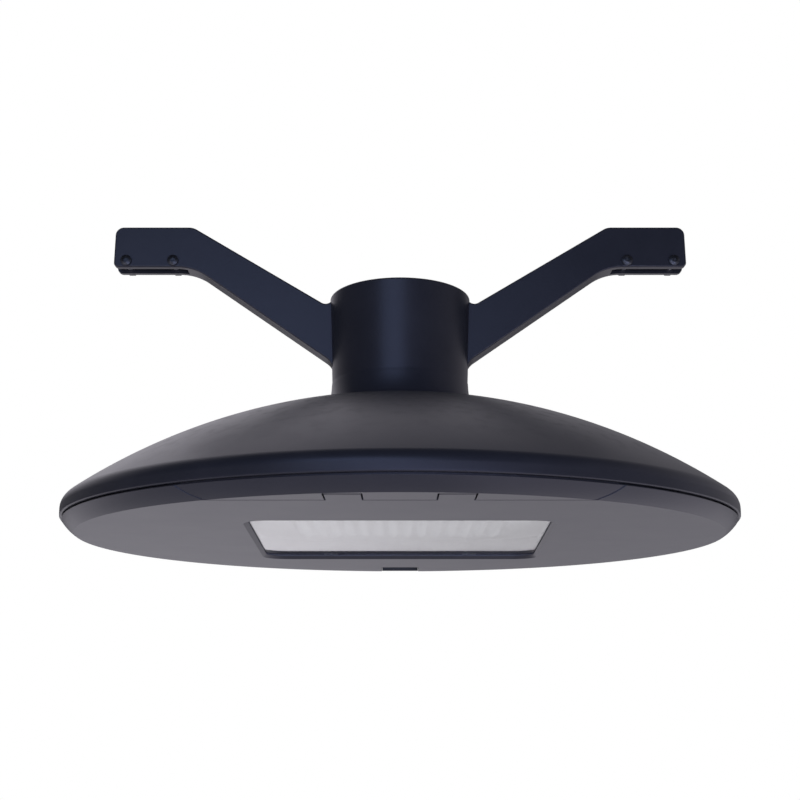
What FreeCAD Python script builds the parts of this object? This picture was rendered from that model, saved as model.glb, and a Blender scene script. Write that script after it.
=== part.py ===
import FreeCAD, Part
import math
import os
import re
import Sketcher

# A round LED light that hangs from a span wire: dome housing, neck with two clamp arms, and a
# hinged door underneath. Millimetres, underside at height zero, hinge at the front (minus Y).

SIZES = (
    # dome housing
    ("rim_radius", 300.0, "widest radius of the lamp head"),
    ("rim_round", 12.0, "corner between the dome and the rim band"),
    ("rim_taper", 1.0, "how far the band draws in at the seam"),
    ("rim_middle", 19.097, "height at which the rim band is widest"),
    ("dome_top", 127.6, "height of the sphere's crown"),
    ("wall", 4.0, "wall of the housing"),
    ("seam_gap", 0.5, "gap between the door and the housing"),
    ("seat_radius", 74.0, "flat seat for the neck"),
    ("seat_thickness", 8.0, "plate under the neck"),
    ("cable_hole", 20.0, "radius of the cable hole in the seat"),
    ("seal_inset", 54.0, "middle of the sealing wall inside the rim"),
    ("seal_wall_width", 4.0, "thickness of the sealing wall"),
    ("seal_clearance", 0.3, "sealing wall above the seal"),
    ("ledge_reach", 15.0, "hinge ledge behind the gap at the hinge"),
    ("ledge_clearance", 6.0, "hinge ledge outside the sealing wall's middle"),
    ("ledge_height", 6.0, "thickness of the hinge ledge"),
    ("column_sink", 0.5, "tray column into the sealing wall"),
    ("column_radius", 8.0, "radius of a tray column"),
    ("boss_back", 4.0, "face of the latch keeper's boss behind the latch pin"),
    ("boss_half", 18.0, "half width of that boss"),
    ("boss_low", 14.5, "underside of that boss"),
    ("boss_height", 10.5, "height of that boss"),
    ("column_hole_depth", 14.0, "threaded hole of a tray column"),
    ("boss_sink", 0.5, "boss into the rim band"),
    ("overcut", 1.0, "holes run past the face that they open on"),
    # door
    ("door_height", 11.5, "height of the door's rim"),
    ("underside_inset", 13.0, "flat part of the underside inside the rim"),
    ("lip_round", 36.0, "curve of the lip"),
    ("lip_inset", 0.4, "lip inside the band at the seam"),
    ("rim_land", 14.0, "width of the door's rim"),
    ("door_floor", 4.0, "thickness of the door's floor"),
    ("groove_floor", 7.0, "floor of the seal groove"),
    ("groove_top", 10.0, "top of the groove's walls"),
    ("groove_wall", 4.0, "thickness of the groove's walls"),
    ("seal_width", 8.0, "width of the door seal"),
    ("seal_play", 0.2, "seal to groove wall"),
    ("seal_height", 7.0, "height of the door seal"),
    ("rib_half", 60.0, "ribs stand this far from the middle"),
    ("rib_width", 3.0, "thickness of a rib"),
    ("rib_top", 9.0, "top of the ribs"),
    ("rib_sink", 3.0, "rib into the window frame"),
    ("rib_end_sink", 1.5, "rib into the groove wall"),
    # window
    ("window_reach", 145.0, "window edge before and behind the middle"),
    ("window_near_half", 122.0, "half width at the hinge side"),
    ("window_far_half", 138.0, "half width at the latch side"),
    ("window_round", 20.0, "corner radius of the window"),
    ("glass_recess", 4.2, "glass above the underside"),
    ("glass_thickness", 5.0, "thickness of the glass"),
    ("glass_overlap", 7.0, "glass beyond the window edge"),
    ("glass_play", 0.6, "glass to the frame"),
    ("glass_seal_height", 1.2, "seal under the glass"),
    ("frame_margin", 13.0, "frame beyond the window edge"),
    ("clip_side", 14.0, "side of a glass clip"),
    ("clip_thickness", 1.2, "sheet of a glass clip"),
    ("clip_place", 72.0, "clips stand this far from the middle"),
    ("clip_hole_inset", 2.7, "screw of a clip outside the glass"),
    ("clip_edge", 3.0, "screw of a clip outside its middle"),
    ("clip_hole_depth", 7.0, "threaded hole of a clip screw"),
    ("glass_seal_inset", 0.4, "glass seal outside the window edge"),
    # hinge
    ("chord_inset", 47.0, "line of the gap at the hinge inside the rim"),
    ("chord_gap", 1.0, "width of that gap"),
    ("block_land", 8.0, "hinge block turned from this far behind the gap"),
    ("slot_play", 0.5, "knuckle to the end of its slot"),
    ("ear_sink", 3.0, "ear into the block"),
    ("cutter_reach", 10.0, "cuts run this far outside the rim"),
    ("pin_end_play", 0.2, "play at the ends of the pins"),
    ("tab_inner", 26.5, "inner side of a hinge tab"),
    ("tab_outer", 51.5, "outer side of a hinge tab"),
    ("tab_clearance", 0.8, "root of a tab outside the seal groove"),
    ("tab_play", 0.6, "tab to its slot"),
    ("tab_step", 1.0, "root of a tab below the groove walls"),
    ("hinge_inset", 25.0, "hinge pin inside the rim"),
    ("hinge_lift", 6.0, "height of the hinge pin"),
    ("knuckle", 6.0, "radius of a tab's knuckle"),
    ("pin_radius", 2.5, "hinge pin"),
    ("pin_play", 0.05, "running play of the pins"),
    ("pin_half", 74.0, "half length of the hinge pin"),
    ("ear_place", 112.0, "ears of the hinge block from the middle"),
    ("ear_half", 9.0, "half width of an ear"),
    ("ear_length", 12.5, "ear behind the gap at the hinge"),
    ("ear_screw_inset", 6.0, "screw of an ear behind that gap"),
    ("ear_thickness", 3.5, "thickness of an ear"),
    # latch
    ("latch_half", 20.5, "half width of the lever"),
    ("latch_play", 0.6, "lever to the sides of its notch"),
    ("finger_gap", 6.5, "notch in front of the lever"),
    ("lever_length", 19.5, "paddle in front of the latch pin"),
    ("lever_low", 0.4, "lever above the underside"),
    ("lever_recess", 3.6, "paddle above the foot of the lever"),
    ("lever_foot", 5.0, "foot of the lever in front of the pin"),
    ("lever_thickness", 4.0, "paddle of the lever"),
    ("lever_tail", 4.0, "outer face of the lever behind the latch pin"),
    ("latch_inset", 13.0, "latch pin inside the rim"),
    ("latch_lift", 6.8, "height of the latch pin"),
    ("latch_barrel", 3.6, "barrel of the lever"),
    ("lever_chin", 4.2, "rounded foot of the lever"),
    ("lever_shoulder", 1.0, "edges of the lever around its barrel"),
    ("lever_fall", 2.5, "barrel falls off this far in front of the pin"),
    ("lever_neck", 5.0, "paddle begins this far in front of the pin"),
    ("latch_pin_radius", 1.5, "latch pin"),
    ("latch_pin_half", 28.0, "half length of the latch pin"),
    ("nose_top", 23.0, "top of the lever's nose"),
    ("nose_half", 8.0, "half width of the nose"),
    ("nose_thickness", 3.0, "thickness of the nose"),
    ("nose_bead", 0.8, "bead of the nose"),
    ("nose_play", 0.5, "nose to the keeper"),
    ("nose_bead_foot", 4.0, "foot of the bead below the top"),
    ("nose_bead_middle", 2.5, "bead below the top"),
    ("nose_chamfer", 1.0, "chamfer of the nose"),
    ("keeper_sheet", 1.2, "sheet of the keeper"),
    ("keeper_half", 14.0, "half width of the keeper"),
    ("keeper_screw_inset", 5.0, "screws of the keeper from its ends"),
    ("keeper_hole_depth", 4.4, "threaded holes of the keeper"),
    ("keeper_lip", 0.8, "lip of the keeper"),
    ("keeper_margin", 0.5, "keeper inside its boss"),
    ("keeper_roll", 1.5, "height of the keeper lip"),
    ("spring_place", 10.0, "spring from the middle"),
    ("spring_room", 6.6, "room for the spring"),
    ("spring_wire", 0.45, "radius of the spring's wire"),
    ("spring_coil", 2.3, "radius of the spring's coil"),
    ("spring_pitch", 1.1, "pitch of the spring"),
    ("spring_length", 5.0, "length of the coil"),
    ("spring_clearance", 1.2, "spring in its room"),
    ("spring_inset", 0.8, "spring from the side of its room"),
    # gear tray and light source
    ("tray_top", 36.0, "top of the gear tray"),
    ("tray_thickness", 3.0, "sheet of the gear tray"),
    ("tray_play", 2.0, "gear tray to the sealing wall"),
    ("tray_cable_hole", 16.0, "cable hole of the tray"),
    ("tray_cable_place", 120.0, "cable hole of the tray in front of the middle"),
    ("tray_hole_play", 0.7, "screws through the tray"),
    ("plate_width", 212.0, "heat plate, across"),
    ("plate_length", 256.0, "heat plate, front to back"),
    ("plate_thickness", 4.0, "heat plate"),
    ("plate_corner", 6.0, "corners of the heat plate"),
    ("board_width", 206.0, "LED board, across"),
    ("board_length", 248.0, "LED board, front to back"),
    ("board_thickness", 1.6, "LED board"),
    ("lens_width", 202.0, "lens plate, across"),
    ("lens_length", 244.0, "lens plate, front to back"),
    ("lens_thickness", 1.6, "lens plate"),
    ("lens_radius", 5.4, "foot of one lens"),
    ("lens_height", 3.6, "height of one lens"),
    ("lens_taper", 32.0, "taper of one lens, degrees"),
    ("lens_columns", 14.0, "lenses across"),
    ("lens_rows", 9.0, "lenses front to back"),
    ("lens_step_across", 14.2, "step of the lenses, across"),
    ("lens_step_along", 27.0, "step of the lenses, front to back"),
    ("led_screw_across", 71.0, "screws of the light source from the middle"),
    ("led_screw_along", 117.8, "screws of the light source, front to back"),
    ("driver_width", 172.0, "driver, across"),
    ("driver_depth", 78.0, "driver, front to back"),
    ("driver_height", 38.0, "driver"),
    ("driver_ear", 14.0, "mounting ear of the driver"),
    ("driver_ear_height", 4.0, "ear thickness"),
    ("driver_ear_margin", 10.0, "ear inside the sides of the driver"),
    ("driver_place", 62.0, "driver behind the middle"),
    ("surge_width", 62.0, "surge protector, across"),
    ("surge_depth", 42.0, "surge protector, front to back"),
    ("surge_height", 28.0, "surge protector"),
    ("surge_place", 92.0, "surge protector left of the middle"),
    ("terminal_width", 66.0, "terminal block, across"),
    ("terminal_depth", 30.0, "terminal block, front to back"),
    ("terminal_height", 24.0, "terminal block"),
    ("terminal_place", 92.0, "terminal block right of the middle"),
    ("gear_front", 70.0, "small gear in front of the middle"),
    ("terminal_hole", 3.2, "wire hole of the terminal block"),
    ("terminal_step", 18.0, "step of the wire holes"),
    ("terminal_hole_lift", 10.0, "wire holes above the tray"),
    # neck and arms
    ("neck_foot", 63.2, "neck radius above the foot"),
    ("neck_head", 67.0, "neck radius at the top"),
    ("neck_top", 232.8, "top of the neck"),
    ("neck_edge", 2.0, "rounded upper edge of the neck"),
    ("foot_round", 8.0, "curve of the neck's foot"),
    ("foot_edge", 1.0, "edge of the foot"),
    ("neck_bore", 56.0, "hollow of the neck"),
    ("flange_bore", 28.0, "hole in the neck's flange"),
    ("flange_height", 10.0, "thickness of the flange"),
    ("ring_radius", 52.5, "middle of the neck seal"),
    ("ring_wire", 1.05, "radius of the seal's section"),
    ("ring_room", 1.7, "half width of its groove"),
    ("ring_depth", 2.1, "depth of its groove"),
    ("bolt_inset", 12.0, "neck bolts outside the flange's hole"),
    ("bolt_radius", 4.0, "neck bolt"),
    ("bolt_length", 17.0, "neck bolt below its head"),
    ("bolt_play", 0.1, "bolt in its thread"),
    ("bolt_hole", 4.5, "hole in the seat"),
    ("bolt_head", 7.5, "corner radius of a neck bolt head"),
    ("bolt_head_height", 5.3, "height of that head"),
    ("washer_height", 1.6, "washer of a neck bolt"),
    ("washer_radius", 8.0, "washer of a neck bolt"),
    ("washer_play", 0.2, "bolt in its washer"),
    ("cap_recess", 63.0, "recess for the cap"),
    ("cap_depth", 5.0, "depth of that recess"),
    ("cap_thickness", 4.0, "cap"),
    ("cap_play", 0.3, "cap in its recess"),
    ("cap_hole_depth", 9.0, "threaded holes for the cap screws"),
    ("cap_hole_play", 0.4, "cap screws through the cap"),
    ("cap_seal_inset", 0.3, "cap seal outside the hollow of the neck"),
    ("arm_thickness", 24.0, "arm, front to back"),
    ("arm_reach", 275.5, "end of an arm"),
    ("arm_top", 304.1, "top of an arm end"),
    ("arm_depth", 41.0, "height of an arm end"),
    ("arm_end_length", 75.0, "straight end of an arm"),
    ("arm_bend_lag", 1.5, "lower bend inside the upper one"),
    ("arm_root_top", 221.6, "upper root"),
    ("arm_root_low", 167.7, "lower root"),
    ("arm_root_round", 12.0, "lower root curve"),
    ("arm_neck_round", 5.5, "upper root curve"),
    ("arm_low_round", 50.0, "lower bend curve"),
    ("arm_top_round", 15.0, "upper bend curve"),
    ("arm_end_round", 8.0, "upper end corner"),
    ("arm_foot_round", 5.0, "lower end corner"),
    ("arm_edge", 1.5, "rounded edges of the arms"),
    ("arm_sink", 0.2, "arm into the side of the neck"),
    ("root_inset", 3.0, "root of an arm outside the hollow of the neck, before it is cut to fit"),
    ("root_rise", 8.0, "root of an arm above the neck, before it is cut to fit"),
    ("arm_fit", 0.05, "arm from the neck, and its bolts from the wall of the hollow"),
    ("arm_bolt_lift", 25.0, "lower arm bolt above the lower root"),
    ("arm_bolt_pitch", 19.0, "upper arm bolt above the lower one"),
    ("arm_bolt_length", 28.0, "arm bolt below its head"),
    # wire clamps
    ("wire_radius", 6.0, "span wire channel"),
    ("wire_lift", 16.9, "wire above the arm end's underside"),
    ("channel_length", 72.5, "length of the open channel"),
    ("bore_length", 83.0, "bore beyond the channel"),
    ("clamp_inset", 12.1, "outer clamp bolt from the end of the arm"),
    ("clamp_pitch", 45.0, "inner clamp bolt from the outer one"),
    ("clamp_lift", 6.5, "clamp bolt above the underside"),
    ("clamp_radius", 3.0, "clamp bolt"),
    ("clamp_head", 5.25, "head of a clamp bolt"),
    ("clamp_head_height", 3.3, "height of that head"),
    ("clamp_nut", 5.77, "corner radius of a clamp nut"),
    ("clamp_nut_height", 5.0, "height of a clamp nut"),
    ("clamp_tail", 2.0, "clamp bolt beyond its nut"),
    ("clamp_play", 0.2, "clamp bolt in its hole"),
    ("nut_play", 0.05, "nut on its bolt"),
    # screws
    ("thread_play", 0.1, "screw in its thread"),
    ("screw_play", 0.2, "screw through a sheet"),
    ("block_screw_radius", 2.5, "screws of the hinge block"),
    ("block_screw_head", 4.4, "head of these, radius"),
    ("block_screw_head_height", 2.8, "height of that head"),
    ("block_screw_length", 9.0, "screws of the hinge block, below the head"),
    ("clip_screw_radius", 1.5, "screws of the glass clips"),
    ("clip_screw_head", 2.8, "head of these, radius"),
    ("clip_screw_head_height", 1.8, "height of that head"),
    ("clip_screw_length", 7.0, "screws of the glass clips, below the head"),
    ("keeper_screw_radius", 1.5, "screws of the keeper"),
    ("keeper_screw_head", 2.6, "head of these, radius"),
    ("keeper_screw_head_height", 1.0, "height of that head"),
    ("keeper_screw_length", 5.0, "screws of the keeper, below the head"),
    ("tray_screw_radius", 2.0, "screws of the gear tray"),
    ("tray_screw_head", 4.6, "head of these, radius"),
    ("tray_screw_head_height", 2.8, "height of that head"),
    ("tray_screw_length", 12.0, "screws of the gear tray, below the head"),
    ("led_screw_radius", 1.7, "screws of the light source"),
    ("led_screw_head", 3.0, "head of these, radius"),
    ("led_screw_head_height", 2.0, "height of that head"),
    ("led_screw_length", 10.0, "screws of the light source, below the head"),
    ("driver_screw_radius", 2.0, "screws of the driver"),
    ("driver_screw_head", 3.8, "head of these, radius"),
    ("driver_screw_head_height", 2.4, "height of that head"),
    ("driver_screw_length", 6.5, "screws of the driver, below the head"),
    ("cap_screw_radius", 1.7, "screws of the cap"),
    ("cap_screw_head", 3.3, "head of these, radius"),
    ("cap_screw_head_height", 2.2, "height of that head"),
    ("cap_screw_length", 11.0, "screws of the cap, below the head"),
    # cable gland
    ("gland_place", 28.0, "gland behind the middle"),
    ("gland_thread", 10.0, "thread radius"),
    ("gland_thread_length", 12.0, "thread below the collar"),
    ("gland_collar", 13.8, "corner radius of the collar"),
    ("gland_collar_height", 6.0, "height of the collar"),
    ("gland_neck", 9.0, "neck under the nut"),
    ("gland_neck_height", 9.0, "height of that neck"),
    ("gland_nut", 12.5, "radius of the nut"),
    ("gland_nut_height", 15.0, "height of the nut"),
    ("gland_nut_round", 5.0, "crown of the nut"),
    ("gland_bore", 7.6, "bore of the body"),
    ("grommet_bore", 5.0, "bore of the grommet"),
    ("gland_mouth", 5.6, "mouth of the nut"),
    ("gland_play", 0.2, "thread in the cap"),
    ("gland_nut_gap", 0.3, "nut above the collar"),
    ("grommet_drop", 4.0, "grommet below the nut"),
    ("locknut_radius", 15.0, "corner radius of the locknut"),
    ("locknut_height", 4.0, "height of the locknut"),
)

# Sizes that follow from the ones above
DERIVED = {
    "corner_reach": "rim_radius - rim_round",
    "corner_rise": "dome_top - rim_round - rim_middle",
    "dome_sphere": "rim_round + (corner_reach^2 + corner_rise^2) / (2 * corner_rise)",
    "seal_wall_radius": "rim_radius - seal_inset",
    "underside_radius": "rim_radius - underside_inset",
    "chord": "rim_radius - chord_inset",
    "ledge_chord": "chord - ledge_reach",
    "ledge_inner": "seal_wall_radius + ledge_clearance",
    "column_ring": "seal_wall_radius - seal_wall_width/2 - column_radius + column_sink",
    "tray_radius": "seal_wall_radius - seal_wall_width/2 - tray_play",
    "groove_inner": "seal_wall_radius - seal_width/2 - seal_play",
    "groove_outer": "seal_wall_radius + seal_width/2 + seal_play",
    "tab_root": "groove_outer + tab_clearance",
    "hinge_reach": "rim_radius - hinge_inset",
    "ear_reach": "chord - ear_length",
    "ear_screw": "chord - ear_screw_inset",
    "latch_reach": "rim_radius - latch_inset",
    "boss_face": "latch_reach + boss_back",
    "lever_edge": "latch_reach - lever_length",
    "lever_end": "latch_reach + lever_tail",
    "notch_edge": "lever_edge - finger_gap",
    "bolt_ring": "flange_bore + bolt_inset",
    "cap_screw_ring": "(neck_bore + cap_recess)/2",
    "arm_bend_top": "arm_reach - arm_end_length",
    "arm_bend_low": "arm_bend_top - arm_bend_lag",
    "arm_bolt_low": "arm_root_low + arm_bolt_lift",
    "arm_bolt_top": "arm_bolt_low + arm_bolt_pitch",
    "arm_bolt_seat": "sqrt(neck_bore^2 - bolt_head^2) - arm_fit",
    "channel_inner": "arm_reach - channel_length",
    "bore_inner": "channel_inner - bore_length",
    "clamp_outer": "arm_reach - clamp_inset",
    "clamp_inner": "clamp_outer - clamp_pitch",
}
NAMES = {row[0] for row in SIZES}
doc = FreeCAD.newDocument("garden_light")
sheet = doc.addObject("Spreadsheet::Sheet", "Sizes")
for row, (name, size, note) in enumerate(SIZES, start=1):
    sheet.set(f"A{row}", note)
    sheet.set(f"B{row}", str(size))
    sheet.setAlias(f"B{row}", name)
doc.recompute()
FULL_TURN = 360


def ex(text):
    """A formula in size names as an expression on the sheet."""

    def on_sheet(found):
        word = found[0]
        if word in DERIVED:
            return "(" + ex(DERIVED[word]) + ")"
        return "Sizes." + word if word in NAMES else word

    return re.sub(r"[A-Za-z_]\w*", on_sheet, text)


def value(text):
    return float(sheet.evalExpression(ex(text)))


def bind(obj, prop, text):
    obj.setExpression(prop, ex(text))


# Sketches: every corner is held by its two distances from the origin, bound to the sheet


def place(sketch, geo, pos, x, y):
    for kind, text, axis in (("DistanceX", x, -2), ("DistanceY", y, -1)):
        amount = value(text)
        if abs(amount) < 1e-9:
            sketch.addConstraint(Sketcher.Constraint("PointOnObject", geo, pos, axis))
        elif amount > 0:
            held = sketch.addConstraint(Sketcher.Constraint(kind, -1, 1, geo, pos, amount))
            bind(sketch, f"Constraints[{held}]", text)
        else:
            held = sketch.addConstraint(Sketcher.Constraint(kind, geo, pos, -1, 1, -amount))
            bind(sketch, f"Constraints[{held}]", f"-({text})")


def add_arc(sketch, start, end, radius, left):
    """An arc of less than half a turn; gives its number and which ends are start and end."""
    first, last = (start, end) if left else (end, start)
    run = last - first
    rise = math.sqrt(max(value(radius) ** 2 - run.Length**2 / 4, 0))
    side = FreeCAD.Vector(-run.y, run.x, 0).normalize()
    centre = (first + last) * 0.5 + side * rise
    begin = math.atan2(first.y - centre.y, first.x - centre.x)
    finish = math.atan2(last.y - centre.y, last.x - centre.x)
    circle = Part.Circle(centre, FreeCAD.Vector(0, 0, 1), value(radius))
    geo = sketch.addGeometry(Part.ArcOfCircle(circle, begin, finish))
    return (geo, 1, 2) if left else (geo, 2, 1)


def hold_radius(sketch, geo, radius):
    held = sketch.addConstraint(Sketcher.Constraint("Radius", geo, value(radius)))
    bind(sketch, f"Constraints[{held}]", radius)


def draw(sketch, corners):
    """A closed outline. A corner is (x, y), (x, y, "round", r) for a rounded corner, or
    (x, y, "left" or "right", r) where the edge to the next corner is an arc turning that way."""
    points = [FreeCAD.Vector(value(c[0]), value(c[1]), 0) for c in corners]
    kinds = [c[2] if len(c) > 2 else "sharp" for c in corners]
    count = len(corners)
    starts = list(points)
    ends = list(points)
    for i, corner in enumerate(corners):
        if kinds[i] == "round":
            before = (points[i - 1] - points[i]).normalize()
            after = (points[(i + 1) % count] - points[i]).normalize()
            run = value(corner[3]) / math.tan(before.getAngle(after) / 2)
            ends[i] = points[i] + before * run
            starts[i] = points[i] + after * run
    edges = []
    for i, corner in enumerate(corners):
        end = ends[(i + 1) % count]
        if kinds[i] in ("left", "right"):
            edge = add_arc(sketch, starts[i], end, corner[3], kinds[i] == "left")
        else:
            edge = (sketch.addGeometry(Part.LineSegment(starts[i], end)), 1, 2)
        edges.append(edge)
    for i, corner in enumerate(corners):
        arriving = edges[i - 1]
        leaving = edges[i]
        if kinds[i] == "round":
            turn = (points[i] - points[i - 1]).cross(points[(i + 1) % count] - points[i]).z
            arc = add_arc(sketch, ends[i], starts[i], corner[3], turn > 0)
            sketch.addConstraint(Sketcher.Constraint("Tangent", arriving[0], arriving[2], arc[0], arc[1]))
            sketch.addConstraint(Sketcher.Constraint("Tangent", arc[0], arc[2], leaving[0], leaving[1]))
            tip = sketch.addGeometry(Part.Point(points[i]), True)
            place(sketch, tip, 1, corner[0], corner[1])
            sketch.addConstraint(Sketcher.Constraint("PointOnObject", tip, 1, arriving[0]))
            sketch.addConstraint(Sketcher.Constraint("PointOnObject", tip, 1, leaving[0]))
            hold_radius(sketch, arc[0], corner[3])
        else:
            ends_meet = Sketcher.Constraint("Coincident", arriving[0], arriving[2], leaving[0], leaving[1])
            sketch.addConstraint(ends_meet)
            place(sketch, leaving[0], leaving[1], corner[0], corner[1])
        if kinds[i] in ("left", "right"):
            hold_radius(sketch, leaving[0], corner[3])


def draw_circle(sketch, x, y, radius):
    centre = FreeCAD.Vector(value(x), value(y), 0)
    geo = sketch.addGeometry(Part.Circle(centre, FreeCAD.Vector(0, 0, 1), value(radius)))
    place(sketch, geo, 3, x, y)
    hold_radius(sketch, geo, radius)


def rectangle(x0, x1, y0, y1):
    return [(x0, y0), (x1, y0), (x1, y1), (x0, y1)]


# Features of a body


def new_body(name):
    return doc.addObject("PartDesign::Body", name)


def origin_plane(body, role):
    return next(p for p in body.Origin.OriginFeatures if p.Role == role)


def new_sketch(body, role, lift="0"):
    sketch = body.newObject("Sketcher::SketchObject", body.Name + "_sketch")
    sketch.AttachmentSupport = [(origin_plane(body, role), "")]
    sketch.MapMode = "FlatFace"
    bind(sketch, "AttachmentOffset.Base.z", lift)
    return sketch


def outline(body, role, corners, lift="0"):
    sketch = new_sketch(body, role, lift)
    draw(sketch, corners)
    return sketch


def circles(body, role, places, radius, lift="0"):
    sketch = new_sketch(body, role, lift)
    for x, y in places:
        draw_circle(sketch, x, y, radius)
    return sketch


volumes = {}


def feature(body, kind, sketch):
    made = body.newObject("PartDesign::" + kind, f"{body.Name}_{kind.lower()}")
    made.Profile = sketch
    return made


def settle(body, made, grows):
    """Recompute and see that the feature added or took material as it should."""
    before = volumes.get(body.Name, 0)
    doc.recompute()
    after = made.Shape.Volume
    if (after > before) != grows:
        raise RuntimeError(f"{made.Name} went from {before:.1f} to {after:.1f}")
    volumes[body.Name] = after
    return made


def turn(body, corners, kind="Revolution"):
    sketch = outline(body, "XZ_Plane", corners)
    made = feature(body, kind, sketch)
    made.ReferenceAxis = (sketch, ["V_Axis"])
    made.Angle = FULL_TURN
    return settle(body, made, kind == "Revolution")


def pad(body, sketch, length, symmetric=False):
    made = feature(body, "Pad", sketch)
    bind(made, "Length", length)
    made.SideType = "Symmetric" if symmetric else "One side"
    return settle(body, made, True)


def pocket(body, sketch, length, symmetric=False, forward=True):
    made = feature(body, "Pocket", sketch)
    bind(made, "Length", length)
    made.SideType = "Symmetric" if symmetric else "One side"
    made.Reversed = forward
    return settle(body, made, False)


def around(body, made, count, grows):
    pattern = body.newObject("PartDesign::PolarPattern", body.Name + "_around")
    pattern.Originals = [made]
    pattern.Axis = (made.Profile[0], ["N_Axis"])
    pattern.Angle = FULL_TURN
    pattern.Occurrences = count
    body.Tip = pattern
    return settle(body, pattern, grows)


def mirror(body, made, grows):
    other = body.newObject("PartDesign::Mirrored", body.Name + "_mirrored")
    other.Originals = made
    other.MirrorPlane = (origin_plane(body, "YZ_Plane"), [""])
    body.Tip = other
    return settle(body, other, grows)


def soften(body, wanted, radius):
    """Round the edges of the body so far that lie where wanted says."""
    base = body.Tip
    picked = [f"Edge{i}" for i, edge in enumerate(base.Shape.Edges, start=1) if wanted(edge)]
    made = body.newObject("PartDesign::Fillet", body.Name + "_fillet")
    made.Base = (base, picked)
    bind(made, "Radius", radius)
    return settle(body, made, False)


# Primitives, used for plain turned and sheet pieces and for fasteners

TURNS = {
    "up": FreeCAD.Rotation(),
    "down": FreeCAD.Rotation(FreeCAD.Vector(1, 0, 0), 180),
    "back": FreeCAD.Rotation(FreeCAD.Vector(1, 0, 0), -90),
    "right": FreeCAD.Rotation(FreeCAD.Vector(0, 1, 0), 90),
    "left": FreeCAD.Rotation(FreeCAD.Vector(0, 1, 0), -90),
}
AXES = {"up": "z", "down": "z", "back": "y", "right": "x", "left": "x"}


def set_place(obj, spot, way="up"):
    obj.Placement = FreeCAD.Placement(FreeCAD.Vector(), TURNS[way])
    for axis, text in zip("xyz", spot):
        bind(obj, f"Placement.Base.{axis}", text)


def cylinder(name, radius, height, spot, way="up"):
    obj = doc.addObject("Part::Cylinder", name)
    bind(obj, "Radius", radius)
    bind(obj, "Height", height)
    set_place(obj, spot, way)
    return obj


def prism(name, corner_radius, height, spot, way="up"):
    obj = doc.addObject("Part::Prism", name)
    obj.Polygon = 6
    bind(obj, "Circumradius", corner_radius)
    bind(obj, "Height", height)
    set_place(obj, spot, way)
    return obj


def box(name, sides, spot):
    """A box standing on the middle of its underside."""
    obj = doc.addObject("Part::Box", name)
    for prop, text in zip(("Length", "Width", "Height"), sides):
        bind(obj, prop, text)
    set_place(obj, (f"{spot[0]} - ({sides[0]})/2", f"{spot[1]} - ({sides[1]})/2", spot[2]))
    return obj


def join(name, pieces):
    obj = doc.addObject("Part::MultiFuse", name)
    obj.Shapes = pieces
    doc.recompute()
    return obj


def cut(name, base, tools):
    obj = doc.addObject("Part::Cut", name)
    obj.Base = base
    obj.Tool = tools[0] if len(tools) == 1 else join(name + "_tools", tools)
    doc.recompute()
    return obj


def step_along(spot, way, distance):
    """The spot moved by a distance along the way a fastener points."""
    moved = list(spot)
    index = "xyz".index(AXES[way])
    sign = "-" if way in ("down", "left") else "+"
    moved[index] = f"{spot[index]} {sign} ({distance})"
    return tuple(moved)


def fasteners(name, spots, way, head, head_height, shank, length, hexagon=False):
    """Equal screws: the head ends at each spot and the shank runs on from it."""
    shape = prism if hexagon else cylinder
    pieces = []
    for spot in spots:
        back = step_along(spot, way, f"-({head_height})")
        pieces.append(shape(name + "_head", head, head_height, back, way))
        pieces.append(cylinder(name + "_shank", shank, length, spot, way))
    return join(name, pieces)


def screws(name, spots, turned, kind):
    """Screws whose four sizes start with the same word."""
    parts = [f"{kind}_{part}" for part in ("head", "head_height", "radius", "length")]
    return fasteners(name, spots, turned, *parts)


def polar(ring, angle, z):
    return (f"({ring}) * cos({angle})", f"({ring}) * sin({angle})", z)


nodes = {}

# Heights that several pieces share

RIM_FOOT = "(door_height + seam_gap)"
SPHERE_LIFT = "(dome_top - dome_sphere)"
INNER_SPHERE = "(dome_sphere - wall)"
SEAL_TOP = "(groove_floor + seal_height)"
SEAL_FOOT = f"({SEAL_TOP} + seal_clearance)"
TRAY_LOW = "(tray_top - tray_thickness)"
PLATE_LOW = f"({TRAY_LOW} - plate_thickness)"
BOARD_LOW = f"({PLATE_LOW} - board_thickness)"
LENS_LOW = f"({BOARD_LOW} - lens_thickness)"
GLASS_TOP = "(glass_recess + glass_thickness)"
LIP_TOP = "(rim_radius - rim_taper - lip_inset)"


def dome_height(radius, sphere):
    return f"({SPHERE_LIFT} + sqrt({sphere}^2 - ({radius})^2))"


SEAT = dome_height("seat_radius", "dome_sphere")
SEAT_LOW = f"({SEAT} - seat_thickness)"


def rim_touch(sphere):
    """Where the rim's corner runs into the dome, on a given sphere."""
    radius = f"((rim_radius - rim_round) * {sphere} / (dome_sphere - rim_round))"
    return radius, dome_height(radius, sphere)


# Dome housing: one casting with its rim band, sealing wall, tray columns and hinge ledge

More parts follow.
